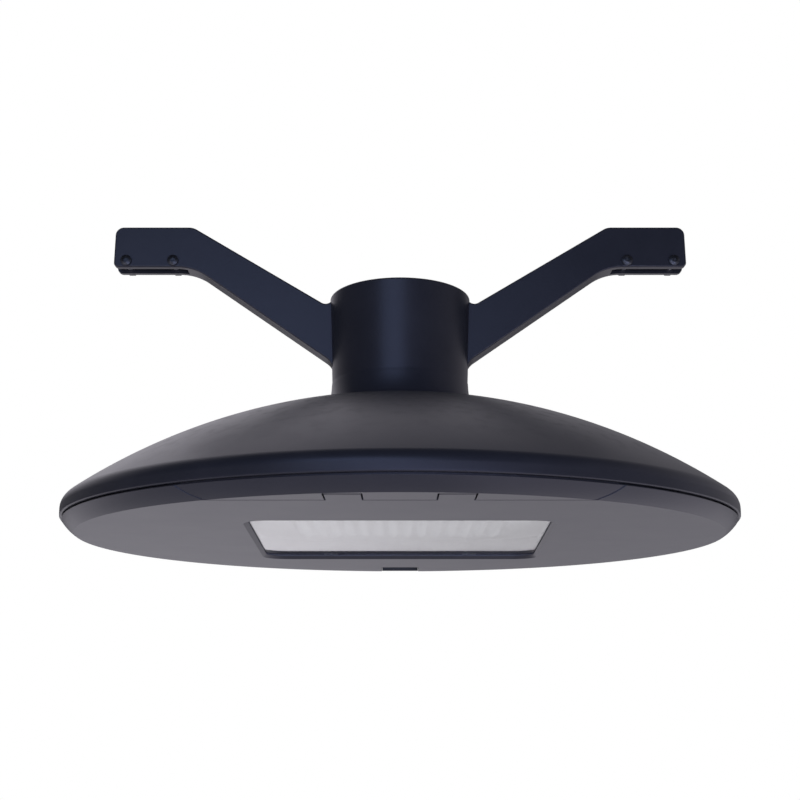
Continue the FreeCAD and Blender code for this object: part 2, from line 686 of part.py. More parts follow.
housing = new_body("upper_housing")
wall_in = "(seal_wall_radius - seal_wall_width/2)"
wall_out = "(seal_wall_radius + seal_wall_width/2)"
flat_edge = f"sqrt({INNER_SPHERE}^2 - ({SEAT_LOW} - {SPHERE_LIFT})^2)"
touch_out = rim_touch("dome_sphere")
touch_in = rim_touch(INNER_SPHERE)
turn(
    housing,
    [
        ("rim_radius - rim_taper", RIM_FOOT),
        ("rim_radius", "rim_middle", "left", "rim_round"),
        (*touch_out, "left", "dome_sphere"),
        ("seat_radius", SEAT),
        ("cable_hole", SEAT),
        ("cable_hole", SEAT_LOW),
        (flat_edge, SEAT_LOW, "right", INNER_SPHERE),
        (wall_in, dome_height(wall_in, INNER_SPHERE)),
        (wall_in, SEAL_FOOT),
        (wall_out, SEAL_FOOT),
        (wall_out, dome_height(wall_out, INNER_SPHERE), "right", INNER_SPHERE),
        (*touch_in, "right", "(rim_round - wall)"),
        ("rim_radius - wall", "rim_middle"),
        ("rim_radius - wall", RIM_FOOT),
    ],
)
ledge_outer = "(rim_radius - wall/2)"
ledge_far = f"sqrt({ledge_outer}^2 - ledge_chord^2)"
ledge_near = "sqrt(ledge_inner^2 - ledge_chord^2)"
ledge = outline(
    housing,
    "XY_Plane",
    [
        (f"-{ledge_far}", "-ledge_chord"),
        (f"-{ledge_near}", "-ledge_chord", "left", "ledge_inner"),
        (ledge_near, "-ledge_chord"),
        (ledge_far, "-ledge_chord", "right", ledge_outer),
    ],
    RIM_FOOT,
)
pad(housing, ledge, "ledge_height")
boss = outline(
    housing,
    "XY_Plane",
    rectangle("-boss_half", "boss_half", "boss_face", "rim_radius - wall + boss_sink"),
    "boss_low",
)
pad(housing, boss, "boss_height")
first_column = [("column_ring * cos(30)", "column_ring * sin(30)")]
column = circles(housing, "XY_Plane", first_column, "column_radius", "tray_top")
column_top = dome_height("column_ring + column_radius", "(dome_sphere - wall/2)")
column_pad = pad(housing, column, f"{column_top} - tray_top")
around(housing, column_pad, 6, True)
column_hole = circles(housing, "XY_Plane", first_column, "tray_screw_radius + thread_play", "tray_top")
column_drill = pocket(housing, column_hole, "column_hole_depth")
around(housing, column_drill, 6, False)
bolt_spot = [("bolt_ring * cos(45)", "bolt_ring * sin(45)")]
seat_hole = circles(housing, "XY_Plane", bolt_spot, "bolt_hole", SEAT_LOW)
seat_drill = pocket(housing, seat_hole, "seat_thickness + overcut")
around(housing, seat_drill, 4, False)
ledge_holes = [("-ear_place", "-ear_screw"), ("ear_place", "-ear_screw")]
block_thread = "block_screw_radius + thread_play"
pocket(housing, circles(housing, "XY_Plane", ledge_holes, block_thread, RIM_FOOT), "ledge_height")
keeper_lift = "(boss_low + boss_height/2)"
keeper_holes = [
    ("-keeper_half + keeper_screw_inset", keeper_lift),
    ("keeper_half - keeper_screw_inset", keeper_lift),
]
keeper_thread = circles(housing, "XZ_Plane", keeper_holes, "keeper_screw_radius + nut_play", "-boss_face")
pocket(housing, keeper_thread, "keeper_hole_depth", forward=False)
nodes["upper_housing"] = housing

# Hinge block: the fixed rim segment that carries the pin in a cradle open at the top

block = new_body("hinge_block")
block_inner = "(chord - block_land)"
turn(
    block,
    [
        (block_inner, "0"),
        ("underside_radius", "0", "left", "lip_round"),
        (LIP_TOP, "door_height"),
        (LIP_TOP, RIM_FOOT),
        (block_inner, RIM_FOOT),
    ],
)
block_face = "(chord + chord_gap/2)"
far_side = "(rim_radius + cutter_reach)"
segment_cut = outline(block, "XY_Plane", rectangle(f"-{far_side}", far_side, f"-{block_face}", far_side))
pocket(block, segment_cut, "door_height + seam_gap")
slot_end = "(hinge_reach + knuckle + slot_play)"
slot = rectangle("tab_inner - tab_play", "tab_outer + tab_play", f"-{slot_end}", f"-{block_face}")
slot_cut = pocket(block, outline(block, "XY_Plane", slot), "door_height + seam_gap")
mirror(block, [slot_cut], False)
cradle = "(pin_radius + pin_play)"
cradle_outline = [
    (f"-hinge_reach - {cradle}", f"{RIM_FOOT} + overcut"),
    (f"-hinge_reach - {cradle}", "hinge_lift", "left", cradle),
    ("-hinge_reach", f"hinge_lift - {cradle}", "left", cradle),
    (f"-hinge_reach + {cradle}", "hinge_lift"),
    (f"-hinge_reach + {cradle}", f"{RIM_FOOT} + overcut"),
]
pocket(block, outline(block, "YZ_Plane", cradle_outline), "2 * (pin_half + pin_end_play)", symmetric=True)
ear = rectangle("ear_place - ear_half", "ear_place + ear_half", f"-{block_face} - ear_sink", "-ear_reach")
ear_pad = pad(block, outline(block, "XY_Plane", ear, f"{RIM_FOOT} - ear_thickness"), "ear_thickness")
mirror(block, [ear_pad], True)
ear_hole_lift = f"{RIM_FOOT} - ear_thickness"
pocket(block, circles(block, "XY_Plane", ledge_holes, block_thread, ear_hole_lift), "ear_thickness")
nodes["hinge_block"] = block
nodes["hinge_pin"] = cylinder(
    "hinge_pin", "pin_radius", "2 * pin_half", ("-pin_half", "-hinge_reach", "hinge_lift"), "right"
)
ear_spots = [(x, y, ear_hole_lift) for x, y in ledge_holes]
nodes["hinge_block_screws"] = screws("hinge_block_screws", ear_spots, "up", "block_screw")

# Door: the flat underside with its lip, window frame, seal groove, ribs and hinge tabs

WINDOW_SLANT = "((window_far_half - window_near_half) / (2 * window_reach))"


def window(margin):
    """The window's outline, a little wider at the latch side, moved outward by a margin."""
    near = f"(window_near_half + ({margin}) * (1 - {WINDOW_SLANT}))"
    far = f"(window_far_half + ({margin}) * (1 + {WINDOW_SLANT}))"
    reach = f"(window_reach + {margin})"
    corner = f"(window_round + {margin})"
    return [
        (f"-{near}", f"-{reach}", "round", corner),
        (near, f"-{reach}", "round", corner),
        (far, reach, "round", corner),
        (f"-{far}", reach, "round", corner),
    ]


door = new_body("bottom_door")
turn(
    door,
    [
        ("0", "0"),
        ("underside_radius", "0", "left", "lip_round"),
        (LIP_TOP, "door_height"),
        (f"{LIP_TOP} - rim_land", "door_height"),
        (f"{LIP_TOP} - rim_land", "door_floor"),
        ("groove_outer + groove_wall", "door_floor"),
        ("groove_outer + groove_wall", "groove_top"),
        ("groove_outer", "groove_top"),
        ("groove_outer", "groove_floor"),
        ("groove_inner", "groove_floor"),
        ("groove_inner", "groove_top"),
        ("groove_inner - groove_wall", "groove_top"),
        ("groove_inner - groove_wall", "door_floor"),
        ("0", "door_floor"),
    ],
)
door_edge = "(chord - chord_gap/2)"
door_cut = rectangle(f"-{far_side}", far_side, f"-{far_side}", f"-{door_edge}")
pocket(door, outline(door, "XY_Plane", door_cut), "door_height + overcut")
pad(door, outline(door, "XY_Plane", window("frame_margin")), GLASS_TOP)
rib_sketch = new_sketch(door, "XY_Plane", "door_floor - overcut")
frame_edge = "(window_reach + frame_margin - rib_sink)"
side_edge = "(window_near_half + frame_margin - rib_sink)"
rib_end = "(sqrt((groove_inner - groove_wall)^2 - rib_half^2) + rib_end_sink)"
for side in ("", "-"):
    for other in ("", "-"):
        across = sorted([f"{side}rib_half - rib_width/2", f"{side}rib_half + rib_width/2"], key=value)
        along = sorted([f"{other}{frame_edge}", f"{other}{rib_end}"], key=value)
        beside = sorted([f"{other}{side_edge}", f"{other}{rib_end}"], key=value)
        draw(rib_sketch, rectangle(*across, *along))
        draw(rib_sketch, rectangle(*beside, *across))
pad(door, rib_sketch, "rib_top - door_floor + overcut")
seat_lift = "(glass_recess - glass_seal_height)"
glass_seat = outline(door, "XY_Plane", window("glass_overlap + glass_play"), seat_lift)
pocket(door, glass_seat, "glass_thickness + glass_seal_height + overcut")
pocket(door, outline(door, "XY_Plane", window("0")), "glass_recess + overcut")
tab_outline = [
    ("-tab_root", "0"),
    ("-tab_root", "groove_top - tab_step"),
    ("-hinge_reach", "hinge_lift + knuckle", "left", "knuckle"),
    ("-hinge_reach - knuckle", "hinge_lift", "left", "knuckle"),
    ("-hinge_reach", "hinge_lift - knuckle"),
]
tab_pad = pad(door, outline(door, "YZ_Plane", tab_outline, "tab_inner"), "tab_outer - tab_inner")
tab_bore = [("-hinge_reach", "hinge_lift")]
tab_hole = circles(door, "YZ_Plane", tab_bore, "pin_radius + pin_play", "tab_inner - overcut")
tab_drill = pocket(door, tab_hole, "tab_outer - tab_inner + 2 * overcut")
mirror(door, [tab_pad, tab_drill], True)
notch_half = "(latch_half + latch_play)"
notch = rectangle(f"-{notch_half}", notch_half, "notch_edge", far_side)
pocket(door, outline(door, "XY_Plane", notch), "door_height + overcut")
latch_hole = circles(door, "YZ_Plane", [("latch_reach", "latch_lift")], "latch_pin_radius + pin_play")
pocket(door, latch_hole, "2 * (latch_pin_half + pin_end_play)", symmetric=True)
clip_reach = "(window_reach + glass_overlap + glass_play + clip_hole_inset)"
clip_slant = f"({WINDOW_SLANT} * clip_place)"
clip_across = "((window_near_half + window_far_half)/2 + glass_overlap + glass_play + clip_hole_inset)"
clip_spots = [
    ("-clip_place", f"-{clip_reach}"),
    ("clip_place", f"-{clip_reach}"),
    ("-clip_place", clip_reach),
    ("clip_place", clip_reach),
    (f"-({clip_across} - {clip_slant})", "-clip_place"),
    (f"({clip_across} - {clip_slant})", "-clip_place"),
    (f"-({clip_across} + {clip_slant})", "clip_place"),
    (f"({clip_across} + {clip_slant})", "clip_place"),
]
clip_thread = circles(
    door, "XY_Plane", clip_spots, "clip_screw_radius + nut_play", f"{GLASS_TOP} - clip_hole_depth"
)
pocket(door, clip_thread, "clip_hole_depth + overcut")
nodes["bottom_door"] = door

# Seal of the door, the glass with its own seal, and the clips that hold it

door_seal = new_body("door_seal")
turn(
    door_seal,
    rectangle("seal_wall_radius - seal_width/2", "seal_wall_radius + seal_width/2", "groove_floor", SEAL_TOP),
)
nodes["door_seal"] = door_seal
glass = new_body("window_glass")
pad(glass, outline(glass, "XY_Plane", window("glass_overlap"), "glass_recess"), "glass_thickness")
nodes["window_glass"] = glass
glass_seal = new_body("glass_seal")
pad(glass_seal, outline(glass_seal, "XY_Plane", window("glass_overlap"), seat_lift), "glass_seal_height")
seal_opening = outline(glass_seal, "XY_Plane", window("glass_seal_inset"), seat_lift)
pocket(glass_seal, seal_opening, "glass_seal_height")
nodes["glass_seal"] = glass_seal
clip_inward = "(clip_side/2 - clip_edge)"
clip_pieces = []
for x, y in clip_spots:
    sign_y = "-" if value(y) > 0 else "+"
    sign_x = "-" if value(x) > 0 else "+"
    if abs(value(y)) > value("window_reach"):
        spot = (x, f"{y} {sign_y} {clip_inward}", GLASS_TOP)
    else:
        spot = (f"{x} {sign_x} {clip_inward}", y, GLASS_TOP)
    plate = box("clip_plate", ("clip_side", "clip_side", "clip_thickness"), spot)
    drill_foot = f"{GLASS_TOP} - overcut"
    drill_run = "clip_thickness + 2 * overcut"
    hole = cylinder("clip_hole", "clip_screw_radius + screw_play", drill_run, (x, y, drill_foot))
    clip_pieces.append(cut("clip", plate, [hole]))
nodes["glass_clips"] = join("glass_clips", clip_pieces)
screw_spots = [(x, y, f"{GLASS_TOP} + clip_thickness") for x, y in clip_spots]
nodes["glass_clip_screws"] = screws("glass_clip_screws", screw_spots, "down", "clip_screw")

# Latch: lever on a pin in the notch of the door's rim, and the keeper in the housing

lever = new_body("latch_lever")
paddle_low = "(lever_low + lever_recess)"
lever_top = f"({paddle_low} + lever_thickness)"
lever_outline = [
    ("lever_edge", paddle_low),
    ("latch_reach - lever_foot", paddle_low),
    ("latch_reach - lever_foot", "lever_low"),
    ("latch_reach - lever_shoulder", "lever_low"),
    ("lever_end", "lever_low + lever_chin"),
    ("lever_end", "latch_lift + lever_shoulder"),
    ("latch_reach + lever_shoulder", "latch_lift + latch_barrel"),
    ("latch_reach - lever_fall", "latch_lift + latch_barrel - lever_shoulder"),
    ("latch_reach - lever_neck", lever_top),
    ("lever_edge", lever_top),
]
pad(lever, outline(lever, "YZ_Plane", lever_outline), "2 * latch_half", symmetric=True)
nose_face = "(boss_face - keeper_sheet - keeper_lip - nose_bead - nose_play)"
nose_outline = [
    (f"{nose_face} - nose_thickness", "latch_lift"),
    (nose_face, "latch_lift"),
    (nose_face, "nose_top - nose_bead_foot"),
    (f"{nose_face} + nose_bead", "nose_top - nose_bead_middle"),
    (nose_face, "nose_top"),
    (f"{nose_face} - nose_thickness + nose_chamfer", "nose_top"),
]
pad(lever, outline(lever, "YZ_Plane", nose_outline), "2 * nose_half", symmetric=True)
latch_axis = [("latch_reach", "latch_lift")]
lever_bore = circles(lever, "YZ_Plane", latch_axis, "latch_pin_radius + pin_play")
pocket(lever, lever_bore, "2 * (latch_half + overcut)", symmetric=True)
spring_room = circles(lever, "YZ_Plane", latch_axis, "spring_coil + spring_clearance", "spring_place")
pocket(lever, spring_room, "spring_room")
nodes["latch_lever"] = lever
nodes["latch_pin"] = cylinder(
    "latch_pin",
    "latch_pin_radius",
    "2 * latch_pin_half",
    ("-latch_pin_half", "latch_reach", "latch_lift"),
    "right",
)
coil = doc.addObject("Part::Helix", "spring_path")
bind(coil, "Radius", "spring_coil")
bind(coil, "Pitch", "spring_pitch")
bind(coil, "Height", "spring_length")
section = doc.addObject("Part::Circle", "spring_section")
bind(section, "Radius", "spring_wire")
section.Placement = FreeCAD.Placement(FreeCAD.Vector(), FreeCAD.Rotation(FreeCAD.Vector(1, 0, 0), 90))
bind(section, "Placement.Base.x", "spring_coil")
spring = doc.addObject("Part::Sweep", "latch_spring")
spring.Sections = [section]
spring.Spine = (coil, ["Edge1"])
spring.Solid = True
spring.Frenet = True
doc.recompute()
set_place(spring, ("spring_place + spring_inset", "latch_reach", "latch_lift"), "right")
nodes["latch_spring"] = spring
keeper_plate = box(
    "keeper_plate",
    ("2 * keeper_half", "keeper_sheet", "boss_height - 2 * keeper_margin"),
    ("0", "boss_face - keeper_sheet/2", "boss_low + keeper_margin"),
)
keeper_roll = box(
    "keeper_roll",
    ("2 * nose_half", "keeper_lip + keeper_sheet", "keeper_roll"),
    ("0", "boss_face - keeper_sheet/2 - keeper_lip/2", "boss_low + keeper_margin"),
)
keeper_drills = [
    cylinder(
        "keeper_drill",
        "keeper_screw_radius + screw_play",
        "keeper_sheet + 2 * overcut",
        (x, "boss_face - keeper_sheet - overcut", z),
        "back",
    )
    for x, z in keeper_holes
]
nodes["latch_keeper"] = cut("latch_keeper", join("keeper_blank", [keeper_plate, keeper_roll]), keeper_drills)
keeper_spots = [(x, "boss_face - keeper_sheet", z) for x, z in keeper_holes]
nodes["keeper_screws"] = screws("keeper_screws", keeper_spots, "back", "keeper_screw")

# Gear tray with the light source below it and the control gear above

tray = new_body("gear_tray")
tray_sketch = new_sketch(tray, "XY_Plane", TRAY_LOW)
draw_circle(tray_sketch, "0", "0", "tray_radius")
draw_circle(tray_sketch, "0", "-tray_cable_place", "tray_cable_hole")
pad(tray, tray_sketch, "tray_thickness")
tray_hole = circles(tray, "XY_Plane", first_column, "tray_screw_radius + tray_hole_play", TRAY_LOW)
around(tray, pocket(tray, tray_hole, "tray_thickness"), 6, False)
nodes["gear_tray"] = tray
tray_spots = [polar("column_ring", 30 + 60 * i, TRAY_LOW) for i in range(6)]
nodes["tray_screws"] = screws("tray_screws", tray_spots, "up", "tray_screw")
heat_plate = new_body("led_heat_plate")
heat_outline = [
    ("-plate_width/2", "-plate_length/2", "round", "plate_corner"),
    ("plate_width/2", "-plate_length/2", "round", "plate_corner"),
    ("plate_width/2", "plate_length/2", "round", "plate_corner"),
    ("-plate_width/2", "plate_length/2", "round", "plate_corner"),
]
pad(heat_plate, outline(heat_plate, "XY_Plane", heat_outline, PLATE_LOW), "plate_thickness")
nodes["led_heat_plate"] = heat_plate
led_screw_places = [
    (f"{side}led_screw_across", f"{end}led_screw_along") for side in ("-", "") for end in ("-", "")
]
led_hole = "led_screw_radius + screw_play"
led_thread = "led_screw_radius + thread_play"
pocket(heat_plate, circles(heat_plate, "XY_Plane", led_screw_places, led_hole, PLATE_LOW), "plate_thickness")
pocket(tray, circles(tray, "XY_Plane", led_screw_places, led_thread, TRAY_LOW), "tray_thickness")
board_blank = box("board_blank", ("board_width", "board_length", "board_thickness"), ("0", "0", BOARD_LOW))
board_drills = [
    cylinder("board_drill", led_hole, "board_thickness + 2 * overcut", (x, y, f"{BOARD_LOW} - overcut"))
    for x, y in led_screw_places
]
nodes["led_board"] = cut("led_board", board_blank, board_drills)
lenses = new_body("led_lens_plate")
lens_sheet = rectangle("-lens_width/2", "lens_width/2", "-lens_length/2", "lens_length/2")
pad(lenses, outline(lenses, "XY_Plane", lens_sheet, LENS_LOW), "lens_thickness")
first_lens = ("-lens_step_across * (lens_columns - 1)/2", "-lens_step_along * (lens_rows - 1)/2")
lens_corners = [
    (f"{first_lens[0]} + lens_radius * cos({turn_by})", f"{first_lens[1]} + lens_radius * sin({turn_by})")
    for turn_by in (22.5, 67.5, 112.5, 157.5, 202.5, 247.5, 292.5, 337.5)
]
lens = feature(lenses, "Pad", outline(lenses, "XY_Plane", lens_corners, LENS_LOW))
bind(lens, "Length", "lens_height")
lens.Reversed = True
bind(lens, "TaperAngle", "-lens_taper")
settle(lenses, lens, True)
rows = lenses.newObject("PartDesign::LinearPattern", "lens_field")
rows.Originals = [lens]
rows.Direction = (lens.Profile[0], ["H_Axis"])
bind(rows, "Length", "lens_step_across * (lens_columns - 1)")
rows.Occurrences = int(value("lens_columns"))
rows.Direction2 = (lens.Profile[0], ["V_Axis"])
bind(rows, "Length2", "lens_step_along * (lens_rows - 1)")
rows.Occurrences2 = int(value("lens_rows"))
lenses.Tip = rows
settle(lenses, rows, True)
pocket(lenses, circles(lenses, "XY_Plane", led_screw_places, led_hole, LENS_LOW), "lens_thickness")
nodes["led_lens_plate"] = lenses
led_spots = [(x, y, LENS_LOW) for x, y in led_screw_places]
nodes["led_screws"] = screws("led_screws", led_spots, "up", "led_screw")

# Control gear

driver_case = box(
    "driver_case", ("driver_width", "driver_depth", "driver_height"), ("0", "driver_place", "tray_top")
)
driver_foot = box(
    "driver_foot",
    ("driver_width + 2 * driver_ear", "driver_depth - 2 * driver_ear_margin", "driver_ear_height"),
    ("0", "driver_place", "tray_top"),
)
driver_hole = "driver_screw_radius + screw_play"
driver_hole_x = "(driver_width/2 + driver_ear/2)"
driver_drills = [
    cylinder(
        "driver_drill",
        driver_hole,
        "driver_ear_height + 2 * overcut",
        (x, "driver_place", "tray_top - overcut"),
    )
    for x in (f"-{driver_hole_x}", driver_hole_x)
]
nodes["led_driver"] = cut("led_driver", join("driver_blank", [driver_case, driver_foot]), driver_drills)
driver_spots = [
    (x, "driver_place", "tray_top + driver_ear_height") for x in (f"-{driver_hole_x}", driver_hole_x)
]
nodes["driver_screws"] = screws("driver_screws", driver_spots, "down", "driver_screw")
driver_places = [(x, y) for x, y, z in driver_spots]
pocket(tray, circles(tray, "XY_Plane", driver_places, driver_hole, TRAY_LOW), "tray_thickness")
nodes["surge_protector"] = box(
    "surge_protector",
    ("surge_width", "surge_depth", "surge_height"),
    ("-surge_place", "-gear_front", "tray_top"),
)
terminal_case = box(
    "terminal_case",
    ("terminal_width", "terminal_depth", "terminal_height"),
    ("terminal_place", "-gear_front", "tray_top"),
)
terminal_drills = [
    cylinder(
        "terminal_drill",
        "terminal_hole",
        "terminal_depth + 2 * overcut",
        (
            f"terminal_place + ({step}) * terminal_step",
            "-gear_front - terminal_depth/2 - overcut",
            "tray_top + terminal_hole_lift",
        ),
        "back",
    )
    for step in (-1, 0, 1)
]
nodes["terminal_block"] = cut("terminal_block", terminal_case, terminal_drills)

# Neck: a turned casting with a flange for the housing, a recess for its cap and holes for the arms

neck = new_body("neck")
shoulder = "(neck_top - cap_depth)"
foot_top = f"({SEAT} + foot_edge + foot_round)"
turn(
    neck,
    [
        ("flange_bore", SEAT),
        ("ring_radius - ring_room", SEAT),
        ("ring_radius - ring_room", f"{SEAT} + ring_depth"),
        ("ring_radius + ring_room", f"{SEAT} + ring_depth"),
        ("ring_radius + ring_room", SEAT),
        ("neck_foot + foot_round", SEAT),
        ("neck_foot + foot_round", f"{SEAT} + foot_edge", "right", "foot_round"),
        ("neck_foot", foot_top),
        ("neck_head", "neck_top", "round", "neck_edge"),
        ("cap_recess", "neck_top"),
        ("cap_recess", shoulder),
        ("neck_bore", shoulder),
        ("neck_bore", f"{SEAT} + flange_height"),
        ("flange_bore", f"{SEAT} + flange_height"),
    ],
)
arm_holes = [("0", "arm_bolt_low"), ("0", "arm_bolt_top")]
neck_drill = circles(neck, "YZ_Plane", arm_holes, "bolt_radius + bolt_play")
pocket(neck, neck_drill, "2 * neck_head + 2 * overcut", symmetric=True)
flange_hole = circles(neck, "XY_Plane", bolt_spot, "bolt_radius + bolt_play", SEAT)
around(neck, pocket(neck, flange_hole, "flange_height"), 4, False)
cap_spot = [("cap_screw_ring * cos(90)", "cap_screw_ring * sin(90)")]
cap_hole = circles(neck, "XY_Plane", cap_spot, "cap_screw_radius + nut_play", shoulder)
around(neck, pocket(neck, cap_hole, "cap_hole_depth", forward=False), 3, False)
nodes["neck"] = neck

# Arms: two equal castings that hug the neck, with the wire channel, its bore and the clamp holes


def neck_radius(height):
    return f"(neck_foot + (neck_head - neck_foot) * ({height} - {foot_top}) / (neck_top - {foot_top}))"


def neck_side(height):
    """Where an arm's front face runs into the tapered neck."""
    return f"(sqrt({neck_radius(height)}^2 - (arm_thickness/2)^2) - arm_sink)"


arm = new_body("right_arm")
arm_low = "(arm_top - arm_depth)"
root_low = "(arm_root_low - arm_root_round)"
root_top = "(neck_top + root_rise)"
arm_outline = [
    ("neck_bore + root_inset", root_low),
    (neck_side(root_low), root_low),
    (neck_side("arm_root_low"), "arm_root_low", "round", "arm_root_round"),
    ("arm_bend_low", arm_low, "round", "arm_low_round"),
    ("arm_reach", arm_low, "round", "arm_foot_round"),
    ("arm_reach", "arm_top", "round", "arm_end_round"),
    ("arm_bend_top", "arm_top", "round", "arm_top_round"),
    (neck_side("arm_root_top"), "arm_root_top", "round", "arm_neck_round"),
    (neck_side(root_top), root_top),
    ("neck_bore + root_inset", root_top),
]
pad(arm, outline(arm, "XZ_Plane", arm_outline), "arm_thickness", symmetric=True)


def on_arm_face(edge):
    """An edge of an arm's front or back face."""
    reach = edge.BoundBox
    flat = abs(reach.YMin - reach.YMax) < 0.01
    clear = reach.XMax > value("neck_head + arm_root_round")
    return flat and clear and abs(abs(reach.YMin) - value("arm_thickness/2")) < 0.01


soften(arm, on_arm_face, "arm_edge")
saddle_low = f"({root_low} - overcut)"
saddle_top = f"({root_top} + overcut)"
turn(
    arm,
    [
        ("0", saddle_low),
        (f"{neck_radius(saddle_low)} + arm_fit", saddle_low),
        (f"{neck_radius(saddle_top)} + arm_fit", saddle_top),
        ("0", saddle_top),
    ],
    "Groove",
)
arm_drill = circles(arm, "YZ_Plane", arm_holes, "bolt_radius + bolt_play", "neck_bore")
pocket(arm, arm_drill, "arm_bolt_length + overcut")
wire_height = f"({arm_low} + wire_lift)"
channel_outline = [
    ("-wire_radius", f"{arm_low} - overcut"),
    ("wire_radius", f"{arm_low} - overcut"),
    ("wire_radius", wire_height, "left", "wire_radius"),
    ("0", f"{wire_height} + wire_radius", "left", "wire_radius"),
    ("-wire_radius", wire_height),
]
channel = outline(arm, "YZ_Plane", channel_outline, "channel_inner")
pocket(arm, channel, "channel_length + overcut")
bore = circles(arm, "YZ_Plane", [("0", wire_height)], "wire_radius", "bore_inner")
pocket(arm, bore, "bore_length + 2 * overcut")
clamp_height = f"({arm_low} + clamp_lift)"
clamp_places = [("clamp_outer", clamp_height), ("clamp_inner", clamp_height)]
clamp_drill = circles(arm, "XZ_Plane", clamp_places, "clamp_radius + clamp_play")
pocket(arm, clamp_drill, "arm_thickness + 2 * overcut", symmetric=True)
nodes["right_arm"] = arm
left_arm = doc.addObject("Part::Mirroring", "left_arm")
left_arm.Source = arm
left_arm.Normal = FreeCAD.Vector(1, 0, 0)
doc.recompute()
nodes["left_arm"] = left_arm

# Bolts that hold the arms, put in from the hollow of the neck

arm_bolt_sets = []
for side, way in (("-", "left"), ("", "right")):
    seats = [(f"{side}arm_bolt_seat", y, z) for y, z in arm_holes]
    arm_bolt_sets.append(
        fasteners(
            f"{way}_arm_bolts",
            seats,
            way,
            "bolt_head",
            "bolt_head_height",
            "bolt_radius",
            "arm_bolt_length",
            hexagon=True,
        )
    )
nodes["arm_bolts"] = join("arm_bolts", arm_bolt_sets)

# Clamp bolts across the channels, with their nuts

clamp_front = "-arm_thickness/2"
clamp_spots = [
    (f"{side}{x}", clamp_front, clamp_height) for side in ("-", "") for x in ("clamp_outer", "clamp_inner")
]
bolt_run = "arm_thickness + clamp_nut_height + clamp_tail"
nodes["clamp_bolts"] = fasteners(
    "clamp_bolts", clamp_spots, "back", "clamp_head", "clamp_head_height", "clamp_radius", bolt_run
)
nut_pieces = []
for x, y, z in clamp_spots:
    nut = prism("clamp_nut", "clamp_nut", "clamp_nut_height", (x, "arm_thickness/2", z), "back")
    thread = cylinder(
        "nut_thread",
        "clamp_radius + nut_play",
        "clamp_nut_height + 2 * overcut",
        (x, "arm_thickness/2 - overcut", z),
        "back",
    )
    nut_pieces.append(cut("nut", nut, [thread]))
nodes["clamp_nuts"] = join("clamp_nuts", nut_pieces)

# Bolts and seal between the neck and the housing

neck_seal = doc.addObject("Part::Torus", "neck_seal")
bind(neck_seal, "Radius1", "ring_radius")
bind(neck_seal, "Radius2", "ring_wire")
set_place(neck_seal, ("0", "0", f"{SEAT} + ring_wire"))
nodes["neck_seal"] = neck_seal
washer_pieces = []
bolt_spots = []
for i in range(4):
    x, y, z = polar("bolt_ring", 45 + 90 * i, f"{SEAT_LOW} - washer_height")
    bolt_spots.append((x, y, z))
    disc = cylinder("washer_disc", "washer_radius", "washer_height", (x, y, z))
    hole = cylinder(
        "washer_hole", "bolt_radius + washer_play", "washer_height + 2 * overcut", (x, y, f"{z} - overcut")
    )
    washer_pieces.append(cut("washer", disc, [hole]))
nodes["neck_washers"] = join("neck_washers", washer_pieces)
nodes["neck_bolts"] = fasteners(
    "neck_bolts",
    bolt_spots,
    "up",
    "bolt_head",
    "bolt_head_height",
    "bolt_radius",
    "bolt_length",
    hexagon=True,
)

# Cap of the neck with its seal, and the cable gland that stands on it

cap_low = "(neck_top - cap_thickness)"
cap = new_body("neck_cap")
cap_sketch = new_sketch(cap, "XY_Plane", cap_low)
draw_circle(cap_sketch, "0", "0", "cap_recess - cap_play")
draw_circle(cap_sketch, "0", "gland_place", "gland_thread + gland_play")
pad(cap, cap_sketch, "cap_thickness")
cap_drill = circles(cap, "XY_Plane", cap_spot, "cap_screw_radius + cap_hole_play", cap_low)
around(cap, pocket(cap, cap_drill, "cap_thickness"), 3, False)
nodes["neck_cap"] = cap
cap_seal = new_body("cap_seal")
cap_seal_sketch = new_sketch(cap_seal, "XY_Plane", shoulder)
draw_circle(cap_seal_sketch, "0", "0", "cap_recess - cap_play")
draw_circle(cap_seal_sketch, "0", "0", "neck_bore + cap_seal_inset")
pad(cap_seal, cap_seal_sketch, "cap_depth - cap_thickness")
seal_drill = circles(cap_seal, "XY_Plane", cap_spot, "cap_screw_radius + cap_hole_play", shoulder)
around(cap_seal, pocket(cap_seal, seal_drill, "cap_depth - cap_thickness"), 3, False)
nodes["cap_seal"] = cap_seal
cap_spots = [polar("cap_screw_ring", 90 + 120 * i, "neck_top") for i in range(3)]
nodes["cap_screws"] = screws("cap_screws", cap_spots, "down", "cap_screw")
gland_spot = ("0", "gland_place")
collar = prism("gland_collar", "gland_collar", "gland_collar_height", (*gland_spot, "neck_top"))
thread_low = "neck_top - gland_thread_length"
stem = cylinder(
    "gland_stem", "gland_thread", "gland_thread_length + gland_collar_height/2", (*gland_spot, thread_low)
)
neck_piece = cylinder(
    "gland_neck", "gland_neck", "gland_collar_height + gland_neck_height", (*gland_spot, "neck_top")
)
gland_drill = cylinder(
    "gland_drill",
    "gland_bore",
    "gland_thread_length + gland_collar_height + gland_neck_height + 2 * overcut",
    (*gland_spot, f"{thread_low} - overcut"),
)
nodes["gland_body"] = cut("gland_body", join("gland_blank", [collar, stem, neck_piece]), [gland_drill])
nut_low = "(neck_top + gland_collar_height)"
crown = new_body("gland_nut")
nut_room = "(gland_neck + nut_play)"
nut_ceiling = f"({nut_low} + gland_neck_height + gland_nut_gap)"
turn(
    crown,
    [
        (nut_room, f"{nut_low} + gland_nut_gap"),
        ("gland_nut", f"{nut_low} + gland_nut_gap"),
        ("gland_nut", f"{nut_low} + gland_nut_height", "round", "gland_nut_round"),
        ("gland_mouth", f"{nut_low} + gland_nut_height"),
        ("gland_mouth", nut_ceiling),
        (nut_room, nut_ceiling),
    ],
)
bind(crown, "Placement.Base.y", "gland_place")
